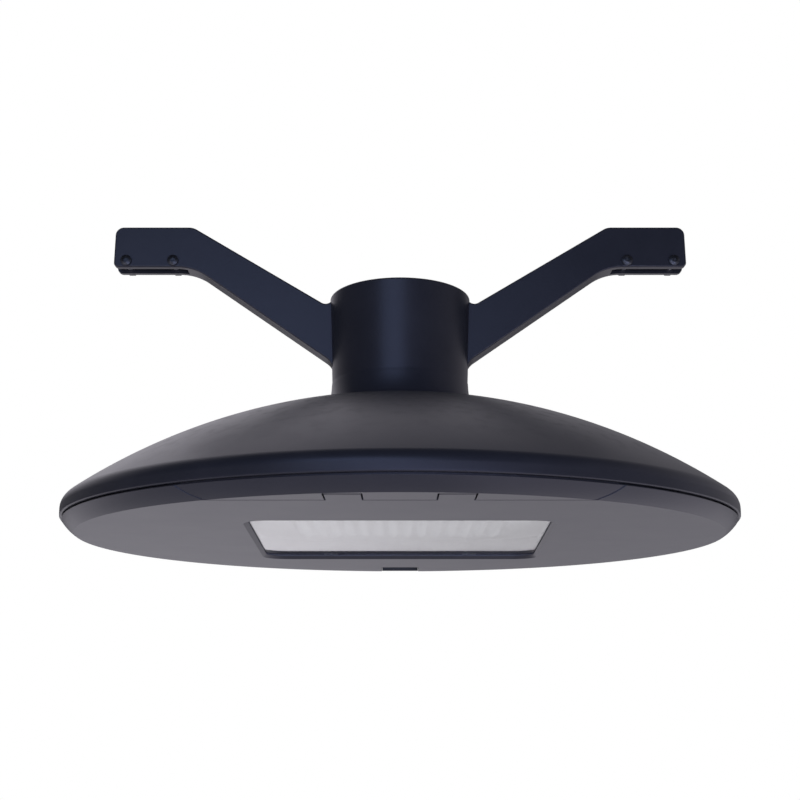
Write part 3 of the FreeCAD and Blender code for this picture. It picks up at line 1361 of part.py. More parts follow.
nodes["gland_nut"] = crown
grommet_low = f"{nut_low} - grommet_drop"
grommet_run = "gland_neck_height + grommet_drop"
sleeve = cylinder("grommet_sleeve", "gland_bore", grommet_run, (*gland_spot, grommet_low))
sleeve_drill = cylinder(
    "grommet_drill", "grommet_bore", f"{grommet_run} + 2 * overcut", (*gland_spot, f"{grommet_low} - overcut")
)
nodes["gland_grommet"] = cut("gland_grommet", sleeve, [sleeve_drill])
locknut_blank = prism(
    "locknut_blank", "locknut_radius", "locknut_height", (*gland_spot, f"{cap_low} - locknut_height")
)
locknut_drill = cylinder(
    "locknut_drill",
    "gland_thread + nut_play",
    "locknut_height + 2 * overcut",
    (*gland_spot, f"{cap_low} - locknut_height - overcut"),
)
nodes["gland_locknut"] = cut("gland_locknut", locknut_blank, [locknut_drill])

# Check every piece and write it

doc.recompute()
for obj in doc.Objects:
    if "Invalid" in obj.State or "Error" in obj.State:
        raise RuntimeError(f"{obj.Name} is {obj.State}")
os.makedirs("parts", exist_ok=True)
for name, obj in nodes.items():
    shape = obj.Shape
    if shape.isNull() or not shape.isValid() or not shape.Solids:
        raise RuntimeError(f"{name} has no valid solid")
    shape.exportStep(f"parts/{name}.step")
    print(f"{name}: {len(shape.Solids)} solid(s), {shape.Volume / 1000:.2f} cm3")
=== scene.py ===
import math

import bmesh
import bpy
from mathutils import Matrix, Vector


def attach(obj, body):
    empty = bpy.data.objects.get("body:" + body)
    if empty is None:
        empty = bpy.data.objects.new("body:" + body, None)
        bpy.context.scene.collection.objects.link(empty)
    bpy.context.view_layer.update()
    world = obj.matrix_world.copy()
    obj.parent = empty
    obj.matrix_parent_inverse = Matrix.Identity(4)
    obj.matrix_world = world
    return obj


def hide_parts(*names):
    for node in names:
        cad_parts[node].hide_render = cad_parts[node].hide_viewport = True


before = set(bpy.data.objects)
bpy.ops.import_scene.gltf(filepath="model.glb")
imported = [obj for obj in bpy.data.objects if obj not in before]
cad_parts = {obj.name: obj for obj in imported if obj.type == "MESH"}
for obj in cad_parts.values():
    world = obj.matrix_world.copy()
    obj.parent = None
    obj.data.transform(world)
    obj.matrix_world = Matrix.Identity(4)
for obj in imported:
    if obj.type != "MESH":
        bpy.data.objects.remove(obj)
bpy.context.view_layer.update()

# Dome housing: a shallow spherical shell with a rounded rim band, and inside it a sealing wall,
# columns for the gear tray, a ledge for the hinge block and a boss for the latch keeper.
# One aluminium casting, sprayed with a satin graphite powder coat and baked.

MM = 0.001
TURN_STEPS = 192
DOME_SPHERE = 490
DOME_CENTRE = (0, -362.4)
DOME_WALL = 4
RIM_CORNER = (288, 19.097)
RIM_ROUND = 12
TOUCH_RADIUS = 295.19
BAND_FOOT = 12.0
BAND_INNER = 296
SEALING_WALL = (244, 248)
SEALING_FOOT = 14.3
SEAT = 121.98
CABLE_HOLE = 20


class Wire:
    """An output of a node. Operators on it add the Math nodes that work them out."""

    def __init__(self, socket):
        self.socket = socket

    @staticmethod
    def node(tree, kind, settings, values, out=0):
        """Any node: its settings come first, then the values or links of its sockets."""
        made = tree.nodes.new(kind)
        for name, setting in settings.items():
            setattr(made, name, setting)
        for name, value in values.items():
            if isinstance(value, Wire):
                tree.links.new(value.socket, made.inputs[name])
            else:
                made.inputs[name].default_value = value
        return Wire(made.outputs[out])

    def math(self, operation, *others):
        values = {i: other for i, other in enumerate((self, *others))}
        return Wire.node(self.socket.id_data, "ShaderNodeMath", {"operation": operation}, values)

    def __add__(self, other):
        return self.math("ADD", other)

    __radd__ = __add__

    def __sub__(self, other):
        return self.math("SUBTRACT", other)

    def __rsub__(self, other):
        settings = {"operation": "SUBTRACT"}
        return Wire.node(self.socket.id_data, "ShaderNodeMath", settings, {0: other, 1: self})

    def __mul__(self, other):
        return self.math("MULTIPLY", other)

    __rmul__ = __mul__

    def __truediv__(self, other):
        return self.math("DIVIDE", other)

    def __lt__(self, other):
        return self.math("LESS_THAN", other)

    def ease(self, low, high):
        """From 0 to 1 between two values, smoothly."""
        settings = {"interpolation_type": "SMOOTHSTEP"}
        values = {"Value": self, "From Min": low, "From Max": high}
        return Wire.node(self.socket.id_data, "ShaderNodeMapRange", settings, values)


def along_axes(tree, vector):
    """The X, Y and Z of a vector."""
    split = Wire.node(tree, "ShaderNodeSeparateXYZ", {}, {"Vector": vector}).socket.node
    return [Wire(output) for output in split.outputs]


def arc(centre, radius, first, last, count):
    """Points of an arc between two angles in degrees, its ends included."""
    points = []
    for i in range(count + 1):
        angle = math.radians(first + (last - first) * i / count)
        points.append((centre[0] + radius * math.cos(angle), centre[1] + radius * math.sin(angle)))
    return points


def as_piece(name, built):
    """The built faces as an object, merged, with all faces outwards."""
    bmesh.ops.remove_doubles(built, verts=built.verts, dist=1e-7)
    bmesh.ops.recalc_face_normals(built, faces=built.faces)
    mesh = bpy.data.meshes.new(name)
    built.to_mesh(mesh)
    built.free()
    piece = bpy.data.objects.new(name, mesh)
    bpy.context.collection.objects.link(piece)
    return piece


def lathe(name, profile, steps=TURN_STEPS):
    """A closed outline of (radius, height) in millimetres, turned about the upright axis."""
    built = bmesh.new()
    rings = []
    for i in range(steps):
        angle = 2 * math.pi * i / steps
        ring = [(r * math.cos(angle) * MM, r * math.sin(angle) * MM, z * MM) for r, z in profile]
        rings.append([built.verts.new(place) for place in ring])
    for i, ring in enumerate(rings):
        beside = rings[(i + 1) % steps]
        for j, corner in enumerate(ring):
            k = (j + 1) % len(ring)
            built.faces.new((corner, beside[j], beside[k], ring[k]))
    return as_piece(name, built)


UPRIGHT = Matrix.Identity(3)
FACING_Y = Matrix(((1, 0, 0), (0, 0, 1), (0, 1, 0)))


def stack(name, layers, way=UPRIGHT):
    """A solid through outlines of equally many points, each (points, height), in millimetres."""
    built = bmesh.new()
    rings = []
    for points, height in layers:
        rings.append([built.verts.new(way @ Vector((x, y, height)) * MM) for x, y in points])
    for ring, above in zip(rings, rings[1:]):
        for i, corner in enumerate(ring):
            k = (i + 1) % len(ring)
            built.faces.new((corner, ring[k], above[k], above[i]))
    built.faces.new(rings[0])
    built.faces.new(rings[-1])
    return as_piece(name, built)


def rectangle(left, right, low, high, margin=0):
    """A rectangle's corners, moved outwards by a margin."""
    left, right, low, high = left - margin, right + margin, low - margin, high + margin
    return [(left, low), (right, low), (right, high), (left, high)]


def slab(name, points, low, high, way=UPRIGHT):
    """A solid of one outline between two heights along its way."""
    return stack(name, [(points, low), (points, high)], way)


def rod(name, centre, radius, low, high, way=UPRIGHT, steps=32):
    """A round bar between two heights along its way."""
    return slab(name, arc(centre, radius, 0, 360 - 360 / steps, steps - 1), low, high, way)


def on_circle(radius, angles):
    """Places around the upright axis, at angles in degrees."""
    return [(radius * math.cos(math.radians(a)), radius * math.sin(math.radians(a))) for a in angles]


def settle(piece):
    """Work the piece's modifiers into its mesh."""
    seen = piece.evaluated_get(bpy.context.evaluated_depsgraph_get())
    mesh = bpy.data.meshes.new_from_object(seen)
    piece.modifiers.clear()
    piece.data = mesh


def carve(piece, tools, operation="DIFFERENCE"):
    """The piece cut by other solids, or joined with them. The tools are used up."""
    for tool in tools:
        change = piece.modifiers.new("carve", "BOOLEAN")
        change.operation = operation
        change.solver = "EXACT"
        change.object = tool
        settle(piece)
        bpy.data.objects.remove(tool)


def round_edges(piece, width, segments, angle):
    """Round the edges that are sharper than an angle in degrees."""
    bevel = piece.modifiers.new("round", "BEVEL")
    bevel.width = width * MM
    bevel.segments = segments
    bevel.limit_method = "ANGLE"
    bevel.angle_limit = math.radians(angle)
    settle(piece)


def ease_edges(piece, width, crease):
    """Round the sharp edges a little, and shade the faces between them smoothly."""
    built = bmesh.new()
    built.from_mesh(piece.data)
    bmesh.ops.remove_doubles(built, verts=built.verts, dist=0.01 * MM)
    bmesh.ops.dissolve_degenerate(built, edges=built.edges, dist=0.01 * MM)
    built.to_mesh(piece.data)
    built.free()
    if width:
        round_edges(piece, width, 2, max(crease, 30))
    piece.data.shade_smooth()
    piece.data.set_sharp_from_angle(angle=math.radians(crease))
    weigh = piece.modifiers.new("weigh", "WEIGHTED_NORMAL")
    weigh.keep_sharp = True
    settle(piece)


def surface(name, constants, paint):
    """A material: constants stay on the shader's own sockets, and paint gives what varies."""
    material = bpy.data.materials.new(name)
    material.use_nodes = True
    tree = material.node_tree
    shader = tree.nodes["Principled BSDF"]
    for socket, value in constants.items():
        shader.inputs[socket].default_value = value
    place = Wire.node(tree, "ShaderNodeTexCoord", {}, {}, "Object")
    for socket, wire in paint(tree, place).items():
        tree.links.new(wire.socket, shader.inputs[socket])
    return material


def noise(tree, place, scale, detail=2, roughness=0.5):
    """Cloudy values about a half, finer with a larger scale."""
    values = {"Vector": place, "Scale": scale, "Detail": detail, "Roughness": roughness}
    return Wire.node(tree, "ShaderNodeTexNoise", {}, values, "Fac")


def blend(tree, mask, first, second):
    """One colour fading to another where the mask is 1."""
    return Wire.node(tree, "ShaderNodeMix", {"data_type": "RGBA"}, {0: mask, 6: first, 7: second}, 2)


def bump(tree, height, depth):
    """Relief of a depth in metres."""
    return Wire.node(tree, "ShaderNodeBump", {}, {"Height": height, "Strength": 1, "Distance": depth})


def powder_coat(tree, place):
    """Baked powder: fine orange peel, faint cloudiness, and a little dust on what faces up."""
    peel = noise(tree, place, 620, 1)
    grain = noise(tree, place, 2600, 1)
    cloud = noise(tree, place, 17, 4, 0.6)
    patches = noise(tree, place, 90, 3)
    facing = Wire.node(tree, "ShaderNodeNewGeometry", {}, {}, "Normal")
    upward = along_axes(tree, facing)[2].ease(0.75, 1)
    dust = upward * patches.ease(0.45, 0.75) * 0.3
    dark_graphite = (0.0175, 0.0195, 0.0270, 1)
    light_graphite = (0.0235, 0.0255, 0.0340, 1)
    graphite = blend(tree, cloud.ease(0.3, 0.7), dark_graphite, light_graphite)
    grained = blend(tree, grain.ease(0.35, 0.7) * 0.35, graphite, (0.032, 0.034, 0.042, 1))
    dusted = blend(tree, dust, grained, (0.075, 0.073, 0.070, 1))
    return {
        "Base Color": dusted,
        "Roughness": 0.31 + cloud * 0.06 + grain * 0.06 + dust * 0.4,
        "Normal": bump(tree, peel * 0.75 + grain * 0.25, 0.000022),
    }


graphite_paint = surface("graphite_paint", {"Specular Tint": (0.95, 0.90, 1.0, 1)}, powder_coat)


def dress(piece, material, body, slot, *nodes):
    """Give a finished piece its material and its place on the frame."""
    piece.data.materials.clear()
    piece.data.materials.append(material)
    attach(piece, body)
    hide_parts(*nodes)


def on_sphere(radius, sphere):
    """The angle at which a sphere of the dome is as wide as a radius."""
    return math.degrees(math.acos(radius / sphere))


INNER_SPHERE = DOME_SPHERE - DOME_WALL
TOUCH = on_sphere(TOUCH_RADIUS, DOME_SPHERE)


def inner_dome(first, last, count):
    """The dome's inner face between two radii."""
    angles = [on_sphere(radius, INNER_SPHERE) for radius in (first, last)]
    return arc(DOME_CENTRE, INNER_SPHERE, *angles, count)


housing = lathe(
    "upper_housing_finished",
    [
        (298.8, BAND_FOOT),
        (299.4, BAND_FOOT + 0.2),
        (299.8, BAND_FOOT + 0.8),
        (299.9, BAND_FOOT + 2.4),
        *arc(RIM_CORNER, RIM_ROUND, 0, TOUCH, 12),
        *arc(DOME_CENTRE, DOME_SPHERE, TOUCH, on_sphere(74, DOME_SPHERE), 64)[1:],
        (72.5, SEAT),
        (CABLE_HOLE, SEAT),
        (CABLE_HOLE, SEAT - 2 * DOME_WALL),
        *inner_dome(96.2, SEALING_WALL[0], 24),
        (SEALING_WALL[0], SEALING_FOOT),
        (SEALING_WALL[1], SEALING_FOOT),
        *inner_dome(SEALING_WALL[1], 292.8, 10),
        *arc(RIM_CORNER, RIM_ROUND - DOME_WALL, 48, 0, 6),
        (BAND_INNER, BAND_FOOT + 0.4),
        (BAND_INNER + 0.4, BAND_FOOT),
    ],
)
LEDGE_CHORD = 238
block_spots = [(x, -247) for x in (-112, 112)]
keeper_spots = [(x, 19.75) for x in (-9, 9)]
tray_spots = on_circle(236.5, range(30, 390, 60))
seat_spots = on_circle(40, range(45, 405, 90))


def chord_plan(chord, inner, outer):
    """The ground plan between two radii, in front of a chord."""
    near = math.degrees(math.acos(chord / inner))
    far = math.degrees(math.acos(chord / outer))
    return arc((0, 0), outer, -90 - far, -90 + far, 40) + arc((0, 0), inner, -90 + near, -90 - near, 40)


ledge = slab("ledge", chord_plan(LEDGE_CHORD, 252, 298), BAND_FOOT + 0.05, 18)
boss = slab("boss", rectangle(-18, 18, 291, 296.5), 14.5, 25)
columns = [rod("column", spot, 8, 36, 58, steps=24) for spot in tray_spots]
carve(housing, [ledge, boss, *columns], "UNION")
drills = [rod("drill", spot, 2.1, 35, 50, steps=16) for spot in tray_spots]
drills += [rod("drill", spot, 4.5, SEAT - 9, SEAT + 1, steps=24) for spot in seat_spots]
drills += [rod("drill", spot, 2.6, 11, 19, steps=16) for spot in block_spots]
drills += [rod("drill", spot, 1.55, 290, 295.4, FACING_Y, steps=12) for spot in keeper_spots]
carve(housing, drills)
ease_edges(housing, 0, 24)
dress(housing, graphite_paint, "housing", "graphite_paint", "upper_housing")

# Hinge block: the fixed rim segment in front of the door's straight edge, with two slots for the
# door's tabs. Cast and coated like the dome, and held to the dome's ledge by two screws in its ears.

CHORD = 253
BLOCK_FACE = CHORD + 0.5
HINGE_LINE = (-275, 6)
TAB = (26.5, 51.5)
SLOT_GAP = 1.2
EAR_LOW = 8.5
LIP_ROUND = 36
LIP_CENTRE = (268.11, 30.65)
GROOVE_LOW = 10.3
BELOW = -1
ABOVE = 13
FACING_X = Matrix(((0, 0, 1), (1, 0, 0), (0, 1, 0)))


def lip(top):
    """The lip from the flat underside up to the shadow groove that runs under the dome's band."""
    first = math.degrees(math.asin(-LIP_CENTRE[1] / LIP_ROUND))
    last = math.degrees(math.asin((GROOVE_LOW - LIP_CENTRE[1]) / LIP_ROUND))
    curve = arc(LIP_CENTRE, LIP_ROUND, first, last, 12)
    edge = curve[-1][0] - 0.4
    groove = GROOVE_LOW + 0.2
    return curve + [(edge, groove), (BAND_INNER, groove), (BAND_INNER, top)]


def on_side(side, near, far):
    """Both ends of a stretch on the left (-1) or the right (1), in rising order."""
    return sorted((side * near, side * far))


block = lathe("hinge_block_finished", [(245, 0), *lip(BAND_FOOT), (245, BAND_FOOT)])
carve(block, [slab("rest", rectangle(-320, 320, -BLOCK_FACE, 320), BELOW, ABOVE)])
slots = []
for side in (-1, 1):
    inner, outer = on_side(side, TAB[0] - SLOT_GAP, TAB[1] + SLOT_GAP)
    slots.append(slab("slot", rectangle(inner, outer, -281.5, -BLOCK_FACE + 4), BELOW, ABOVE))
cradle_foot = arc(HINGE_LINE, 2.55, 180, 360, 12)
cradle = [(cradle_foot[0][0], ABOVE), *cradle_foot, (cradle_foot[-1][0], ABOVE)]
slots.append(slab("cradle", cradle, -74.2, 74.2, FACING_X))
carve(block, slots)
ears = [slab("ear", rectangle(x - 9, x + 9, y - 9.5, y + 6.5), EAR_LOW, BAND_FOOT) for x, y in block_spots]
carve(block, ears, "UNION")
carve(block, [rod("drill", spot, 2.6, 8, ABOVE, steps=16) for spot in block_spots])
ease_edges(block, 0.35, 15)
dress(block, graphite_paint, "housing", "graphite_paint", "hinge_block")

# Hinge pin and the two screws of the block: drawn and turned stainless steel, left bright.
# The pin lies in the block's cradle, and the screws go up into the dome's ledge.


def dress_cad(node, width, material, body, slot, crease=30):
    """A node that keeps its CAD shape: a copy in whole faces, with eased edges and its material."""
    built = bmesh.new()
    built.from_mesh(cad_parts[node].data)
    bmesh.ops.remove_doubles(built, verts=built.verts, dist=1e-6)
    bmesh.ops.dissolve_limit(built, angle_limit=math.radians(0.5), verts=built.verts, edges=built.edges)
    piece = as_piece(node + "_finished", built)
    ease_edges(piece, width, crease)
    dress(piece, material, body, slot, node)


def drawn_steel(tree, place):
    """Bright steel with fine drawing lines and a few duller patches."""
    stretched = Wire.node(tree, "ShaderNodeMapping", {}, {"Vector": place, "Scale": (1, 6, 6)})
    lines = noise(tree, stretched, 900, 3)
    patches = noise(tree, place, 160, 3)
    colour = blend(tree, patches.ease(0.35, 0.7), (0.56, 0.56, 0.57, 1), (0.43, 0.43, 0.44, 1))
    return {
        "Base Color": colour,
        "Roughness": 0.24 + lines * 0.12 + patches * 0.1,
        "Normal": bump(tree, lines, 0.000006),
    }


stainless_steel = surface("stainless_steel", {"Metallic": 1.0}, drawn_steel)
dress_cad("hinge_pin", 0.4, stainless_steel, "housing", "stainless_steel")


def geometry_tree(name, inputs):
    """An empty Geometry Nodes tree with named inputs, and its inputs as wires."""
    tree = bpy.data.node_groups.new(name, "GeometryNodeTree")
    tree.interface.new_socket("Geometry", in_out="OUTPUT", socket_type="NodeSocketGeometry")
    for label, kind in inputs.items():
        tree.interface.new_socket(label, in_out="INPUT", socket_type="NodeSocket" + kind)
    given = tree.nodes.new("NodeGroupInput")
    return tree, {label: Wire(given.outputs[label]) for label in inputs}


def give_out(tree, shape, finish):
    """End a tree: whole geometry with its material."""
    whole = Wire.node(tree, "GeometryNodeRealizeInstances", {}, {"Geometry": shape})
    painted = Wire.node(tree, "GeometryNodeSetMaterial", {}, {"Geometry": whole, "Material": finish})
    tree.links.new(painted.socket, tree.nodes.new("NodeGroupOutput").inputs["Geometry"])


screw_sizes = {
    "Geometry": "Geometry",
    "Head Radius": "Float",
    "Head Height": "Float",
    "Crown": "Float",
    "Socket": "Float",
    "Shank Radius": "Float",
    "Shank Length": "Float",
    "Turn": "Vector",
    "Finish": "Material",
}
screw_tree, size = geometry_tree("socket_screw", screw_sizes)


def domed(tree, radius, wall, crown, steps):
    """A low drum that hangs from the origin, with a rounded crown below its wall."""
    shape = {"Vertices": steps, "Fill Segments": 3, "Radius": radius, "Depth": wall}
    drum = Wire.node(tree, "GeometryNodeMeshCylinder", {"fill_type": "TRIANGLE_FAN"}, shape, "Mesh")
    spot = Wire.node(tree, "GeometryNodeInputPosition", {}, {})
    x, y, z = along_axes(tree, spot)
    out_share = (x * x + y * y) / (radius * radius)
    drop = (z < 0.0) * (1 - out_share) * crown + wall / 2
    lift = Wire.node(tree, "ShaderNodeCombineXYZ", {}, {"Z": 0 - drop})
    return Wire.node(tree, "GeometryNodeSetPosition", {}, {"Geometry": drum, "Offset": lift})


def bar(tree, steps, radius, depth, height):
    """A closed bar about the upright axis, its middle at a height."""
    shape = {"Vertices": steps, "Radius": radius, "Depth": depth}
    drum = Wire.node(tree, "GeometryNodeMeshCylinder", {"fill_type": "NGON"}, shape, "Mesh")
    rise = Wire.node(tree, "ShaderNodeCombineXYZ", {}, {"Z": height})
    return Wire.node(tree, "GeometryNodeTransform", {}, {"Geometry": drum, "Translation": rise})


def joined(tree, first, second):
    """Two geometries as one."""
    both = Wire.node(tree, "GeometryNodeJoinGeometry", {}, {"Geometry": first})
    tree.links.new(second.socket, both.socket.node.inputs["Geometry"])
    return both


head = domed(screw_tree, size["Head Radius"], size["Head Height"] - size["Crown"], size["Crown"], 18)
key = bar(screw_tree, 6, size["Socket"], size["Head Height"], 0 - size["Head Height"] * 1.05)
cutting = {"operation": "DIFFERENCE", "solver": "EXACT"}
keyed = Wire.node(screw_tree, "GeometryNodeMeshBoolean", cutting, {"Mesh 1": head, "Mesh 2": key}, "Mesh")
shank = bar(screw_tree, 16, size["Shank Radius"], size["Shank Length"], size["Shank Length"] / 2)
screw = joined(screw_tree, shank, keyed)
turned = Wire.node(screw_tree, "FunctionNodeEulerToRotation", {}, {"Euler": size["Turn"]})
placing = {"Points": size["Geometry"], "Instance": screw, "Rotation": turned}
placed = Wire.node(screw_tree, "GeometryNodeInstanceOnPoints", {}, placing)
give_out(screw_tree, placed, size["Finish"])

UP = (0, 0, 0)
DOWN = (math.pi, 0, 0)
BACK = (-math.pi / 2, 0, 0)


def run_tree(piece, tree, values, crease=35):
    """Run a tree on a piece, and keep its result as a plain mesh."""
    run = piece.modifiers.new("grow", "NODES")
    run.node_group = tree
    for item in tree.interface.items_tree:
        if item.in_out == "INPUT" and item.name in values:
            run[item.identifier] = values[item.name]
    settle(piece)
    piece.data.shade_smooth()
    piece.data.set_sharp_from_angle(angle=math.radians(crease))


def screws(node, body, spots, turn, finish, slot, head, height, shank, length):
    """Equal button-head screws: a head ends at each spot, its shank runs on. Both are given as radii."""
    values = {
        "Head Radius": head * MM,
        "Head Height": height * MM,
        "Crown": 0.45 * height * MM,
        "Socket": 0.5 * head * MM,
        "Shank Radius": shank * MM,
        "Shank Length": length * MM,
        "Turn": turn,
        "Finish": finish,
    }
    mesh = bpy.data.meshes.new(node + "_finished")
    mesh.from_pydata([Vector(spot) * MM for spot in spots], [], [])
    piece = bpy.data.objects.new(node + "_finished", mesh)
    bpy.context.collection.objects.link(piece)
    run_tree(piece, screw_tree, values)
    dress(piece, finish, body, slot, node)


def steel_screws(node, body, spots, turn, **sizes):
    """Equal screws of stainless steel."""
    screws(node, body, spots, turn, stainless_steel, "stainless_steel", **sizes)


block_heads = [(x, y, EAR_LOW) for x, y in block_spots]
steel_screws("hinge_block_screws", "housing", block_heads, UP, head=4.4, height=2.8, shank=2.5, length=9)

# Door: the flat underside with its rounded lip, the window frame, a seal groove, stiffening ribs
# and two hinge tabs. One casting in the same coat; it swings on the pin and is held by the latch.

DOOR_EDGE = CHORD - 0.5
DOOR_TOP = 11.5
DOOR_WALL = 4
RIB_HALF = 1.5
RIB_END = 231.5
NOTCH_HALF = 20.8
WINDOW_REACH = 145
WINDOW_NEAR = 122
WINDOW_FAR = 138
WINDOW_SLANT = (WINDOW_FAR - WINDOW_NEAR) / (2 * WINDOW_REACH)
WINDOW_ROUND = 20
PANE_SEAL = 1.2
GLASS_LOW = 4.2
GLASS_TOP = 9.2


def rounded(corners, radii, count=8):
    """A polygon with its corners rounded."""
    points = []
    for i, (corner, radius) in enumerate(zip(corners, radii)):
        corner = Vector(corner)
        back = (Vector(corners[i - 1]) - corner).normalized()
        on = (Vector(corners[(i + 1) % len(corners)]) - corner).normalized()
        half = back.angle(on) / 2
        middle = corner + (back + on).normalized() * radius / math.sin(half)
        start = corner + back * radius / math.tan(half) - middle
        end = corner + on * radius / math.tan(half) - middle
        first = math.degrees(math.atan2(start.y, start.x))
        sweep = (math.degrees(math.atan2(end.y, end.x)) - first + 180) % 360 - 180
        points += arc(middle, radius, first, first + sweep, count) if radius else [tuple(corner)]
    return points


def window(margin):
    """The window's outline, a little wider at the latch side, moved outwards by a margin."""
    near = WINDOW_NEAR + margin * (1 - WINDOW_SLANT)
    far = WINDOW_FAR + margin * (1 + WINDOW_SLANT)
    reach = WINDOW_REACH + margin
    corners = [(-near, -reach), (near, -reach), (far, reach), (-far, reach)]
    return rounded(corners, [WINDOW_ROUND + margin] * 4)


door = lathe(
    "bottom_door_finished",
    [
        (0, 0),
        *lip(DOOR_TOP),
        (284.6, DOOR_TOP),
        (284.6, DOOR_WALL),
        (254.2, DOOR_WALL),
        (254.2, 10),
        (250.2, 10),
        (250.2, 7),
        (241.8, 7),
        (241.8, 10),
        (237.8, 10),
        (237.8, DOOR_WALL),
        (0, DOOR_WALL),
    ],
)
edge_layers = [(1.9, BELOW), (0.9, 0), (0, 0.9), (0, ABOVE)]
segment = [(rectangle(-320, 320, -320, ease - DOOR_EDGE), z) for ease, z in edge_layers]
carve(door, [stack("segment", segment)])
added = [slab("frame", window(13), 3, GLASS_TOP)]
tab = [(-251, 0), (-251, 9), *arc(HINGE_LINE, 6, 90, 270, 16)]
for side in (-1, 1):
    near, far = on_side(side, 155, RIB_END)
    left, right = on_side(side, 132, RIB_END)
    for middle in (-60, 60):
        low, high = middle - RIB_HALF, middle + RIB_HALF
        added.append(slab("rib", rectangle(low, high, near, far), 3, 9))
        added.append(slab("rib", rectangle(left, right, low, high), 3, 9))
    added.append(slab("tab", tab, side * TAB[0], side * TAB[1], FACING_X))
carve(door, added, "UNION")
seat = slab("seat", window(7.6), GLASS_LOW - PANE_SEAL, ABOVE)
opening_layers = [(4, BELOW), (3, 0), (0.2, 2.8), (0, 3), (0, 7)]
opening = stack("opening", [(window(margin), z) for margin, z in opening_layers])
scoop_side = [(238, BELOW), (262, BELOW), (262, 2.6), (238, 0)]
scoop = slab("scoop", scoop_side, -NOTCH_HALF, NOTCH_HALF, FACING_X)
notch_layers = [(1.5, BELOW), (0.5, 0), (0, 0.5), (0, ABOVE)]
notch_plans = [(rectangle(-NOTCH_HALF, NOTCH_HALF, 261, 320, ease), z) for ease, z in notch_layers]
notch = stack("notch", notch_plans)
tab_bores = [rod("bore", HINGE_LINE, 2.56, low, high, FACING_X) for low, high in ((-58, -20), (20, 58))]
clip_spots = [(x, y) for y in (-155.3, 155.3) for x in (-72, 72)]
clip_spots += [(side * (140.3 + y * WINDOW_SLANT), y) for y in (-72, 72) for side in (-1, 1)]
threads = [rod("thread", spot, 1.56, 2.3, ABOVE, steps=12) for spot in clip_spots]
carve(door, [seat, opening, scoop, notch, *tab_bores, *threads])
ease_edges(door, 0.3, 13)
dress(door, graphite_paint, "door", "graphite_paint", "bottom_door")

# Seals: a square cord of black rubber in the door's groove, and a flat grey silicone one under the
# glass. Both are laid in dry; the door seal is pressed by the dome's sealing wall.


def moulded_rubber(tree, place):
    """Matt black rubber with talc in its pores."""
    pores = noise(tree, place, 1800, 2)
    talc = noise(tree, place, 120, 4)
    colour = blend(tree, talc.ease(0.5, 0.8) * 0.5, (0.022, 0.022, 0.023, 1), (0.06, 0.06, 0.062, 1))
    return {"Base Color": colour, "Roughness": 0.62 + talc * 0.2, "Normal": bump(tree, pores, 0.00003)}


seal_rubber = surface("seal_rubber", {}, moulded_rubber)
door_seal = lathe("door_seal_finished", rounded(rectangle(242, 250, 7, 14), [0.4, 0.4, 1.8, 1.8], 4))
ease_edges(door_seal, 0, 40)
dress(door_seal, seal_rubber, "door", "seal_rubber", "door_seal")


def grey_silicone(tree, place):
    """Slate grey silicone sheet, smooth from the knife."""
    pores = noise(tree, place, 1500, 2)
    cloud = noise(tree, place, 80, 3)
    colour = blend(tree, cloud, (0.085, 0.09, 0.125, 1), (0.115, 0.12, 0.16, 1))
    return {"Base Color": colour, "Roughness": 0.4 + cloud * 0.15, "Normal": bump(tree, pores, 0.00002)}


pane_silicone = surface("pane_silicone", {}, grey_silicone)
dress_cad("glass_seal", 0.15, pane_silicone, "door", "seal_rubber")

# Window: a pane of toughened clear glass with ground edges, laid on its seal from inside.
# Eight small stainless clips hold it, each bent from sheet and screwed to the frame.

CLIP_SHEET = 1.2


def clear_pane(tree, place):
    """Clear glass with faint wiping marks."""
    stretched = Wire.node(tree, "ShaderNodeMapping", {}, {"Vector": place, "Scale": (1, 5, 1)})
    wiped = noise(tree, stretched, 30, 4)
    tint = blend(tree, wiped, (0.93, 0.95, 0.95, 1), (0.97, 0.98, 0.98, 1))
    return {"Base Color": tint, "Roughness": wiped.ease(0.45, 0.8) * 0.05 + 0.015}


clear_glass = surface("clear_glass", {"Transmission Weight": 1.0, "IOR": 1.46}, clear_pane)
pane_layers = [(6.5, GLASS_LOW), (7.0, GLASS_LOW + 0.5), (7.0, GLASS_TOP - 0.5), (6.5, GLASS_TOP)]
pane = stack("window_glass_finished", [(window(margin), z) for margin, z in pane_layers])
ease_edges(pane, 0, 25)
dress(pane, clear_glass, "door", "clear_glass", "window_glass")
dress_cad("glass_clips", 0.2, stainless_steel, "door", "stainless_steel")
clip_heads = [(x, y, GLASS_TOP + CLIP_SHEET) for x, y in clip_spots]
steel_screws("glass_clip_screws", "door", clip_heads, DOWN, head=2.8, height=1.8, shank=1.5, length=7)

# Latch: a black moulded lever on a steel pin in the notch of the door's rim, with a coil spring.
# Its nose snaps behind a pressed keeper that two screws hold to the boss of the dome.


def moulded_black(tree, place):
    """Glass-filled black nylon: a fine spark-eroded grain."""
    grain = noise(tree, place, 2200, 2)
    flow = noise(tree, place, 45, 3)
    colour = blend(tree, flow.ease(0.3, 0.75), (0.011, 0.011, 0.013, 1), (0.019, 0.019, 0.021, 1))
    return {"Base Color": colour, "Roughness": 0.36 + grain * 0.14, "Normal": bump(tree, grain, 0.00002)}


black_plastic = surface("black_plastic", {}, moulded_black)
dress_cad("latch_lever", 0.4, black_plastic, "latch", "black_plastic", 25)
dress_cad("latch_pin", 0.2, stainless_steel, "door", "stainless_steel")
dress_cad("latch_spring", 0, stainless_steel, "door", "stainless_steel", 40)
dress_cad("latch_keeper", 0.2, stainless_steel, "housing", "stainless_steel")
keeper_heads = [(x, 289.8, z) for x, z in keeper_spots]
steel_screws("keeper_screws", "housing", keeper_heads, BACK, head=2.6, height=1.0, shank=1.5, length=5)

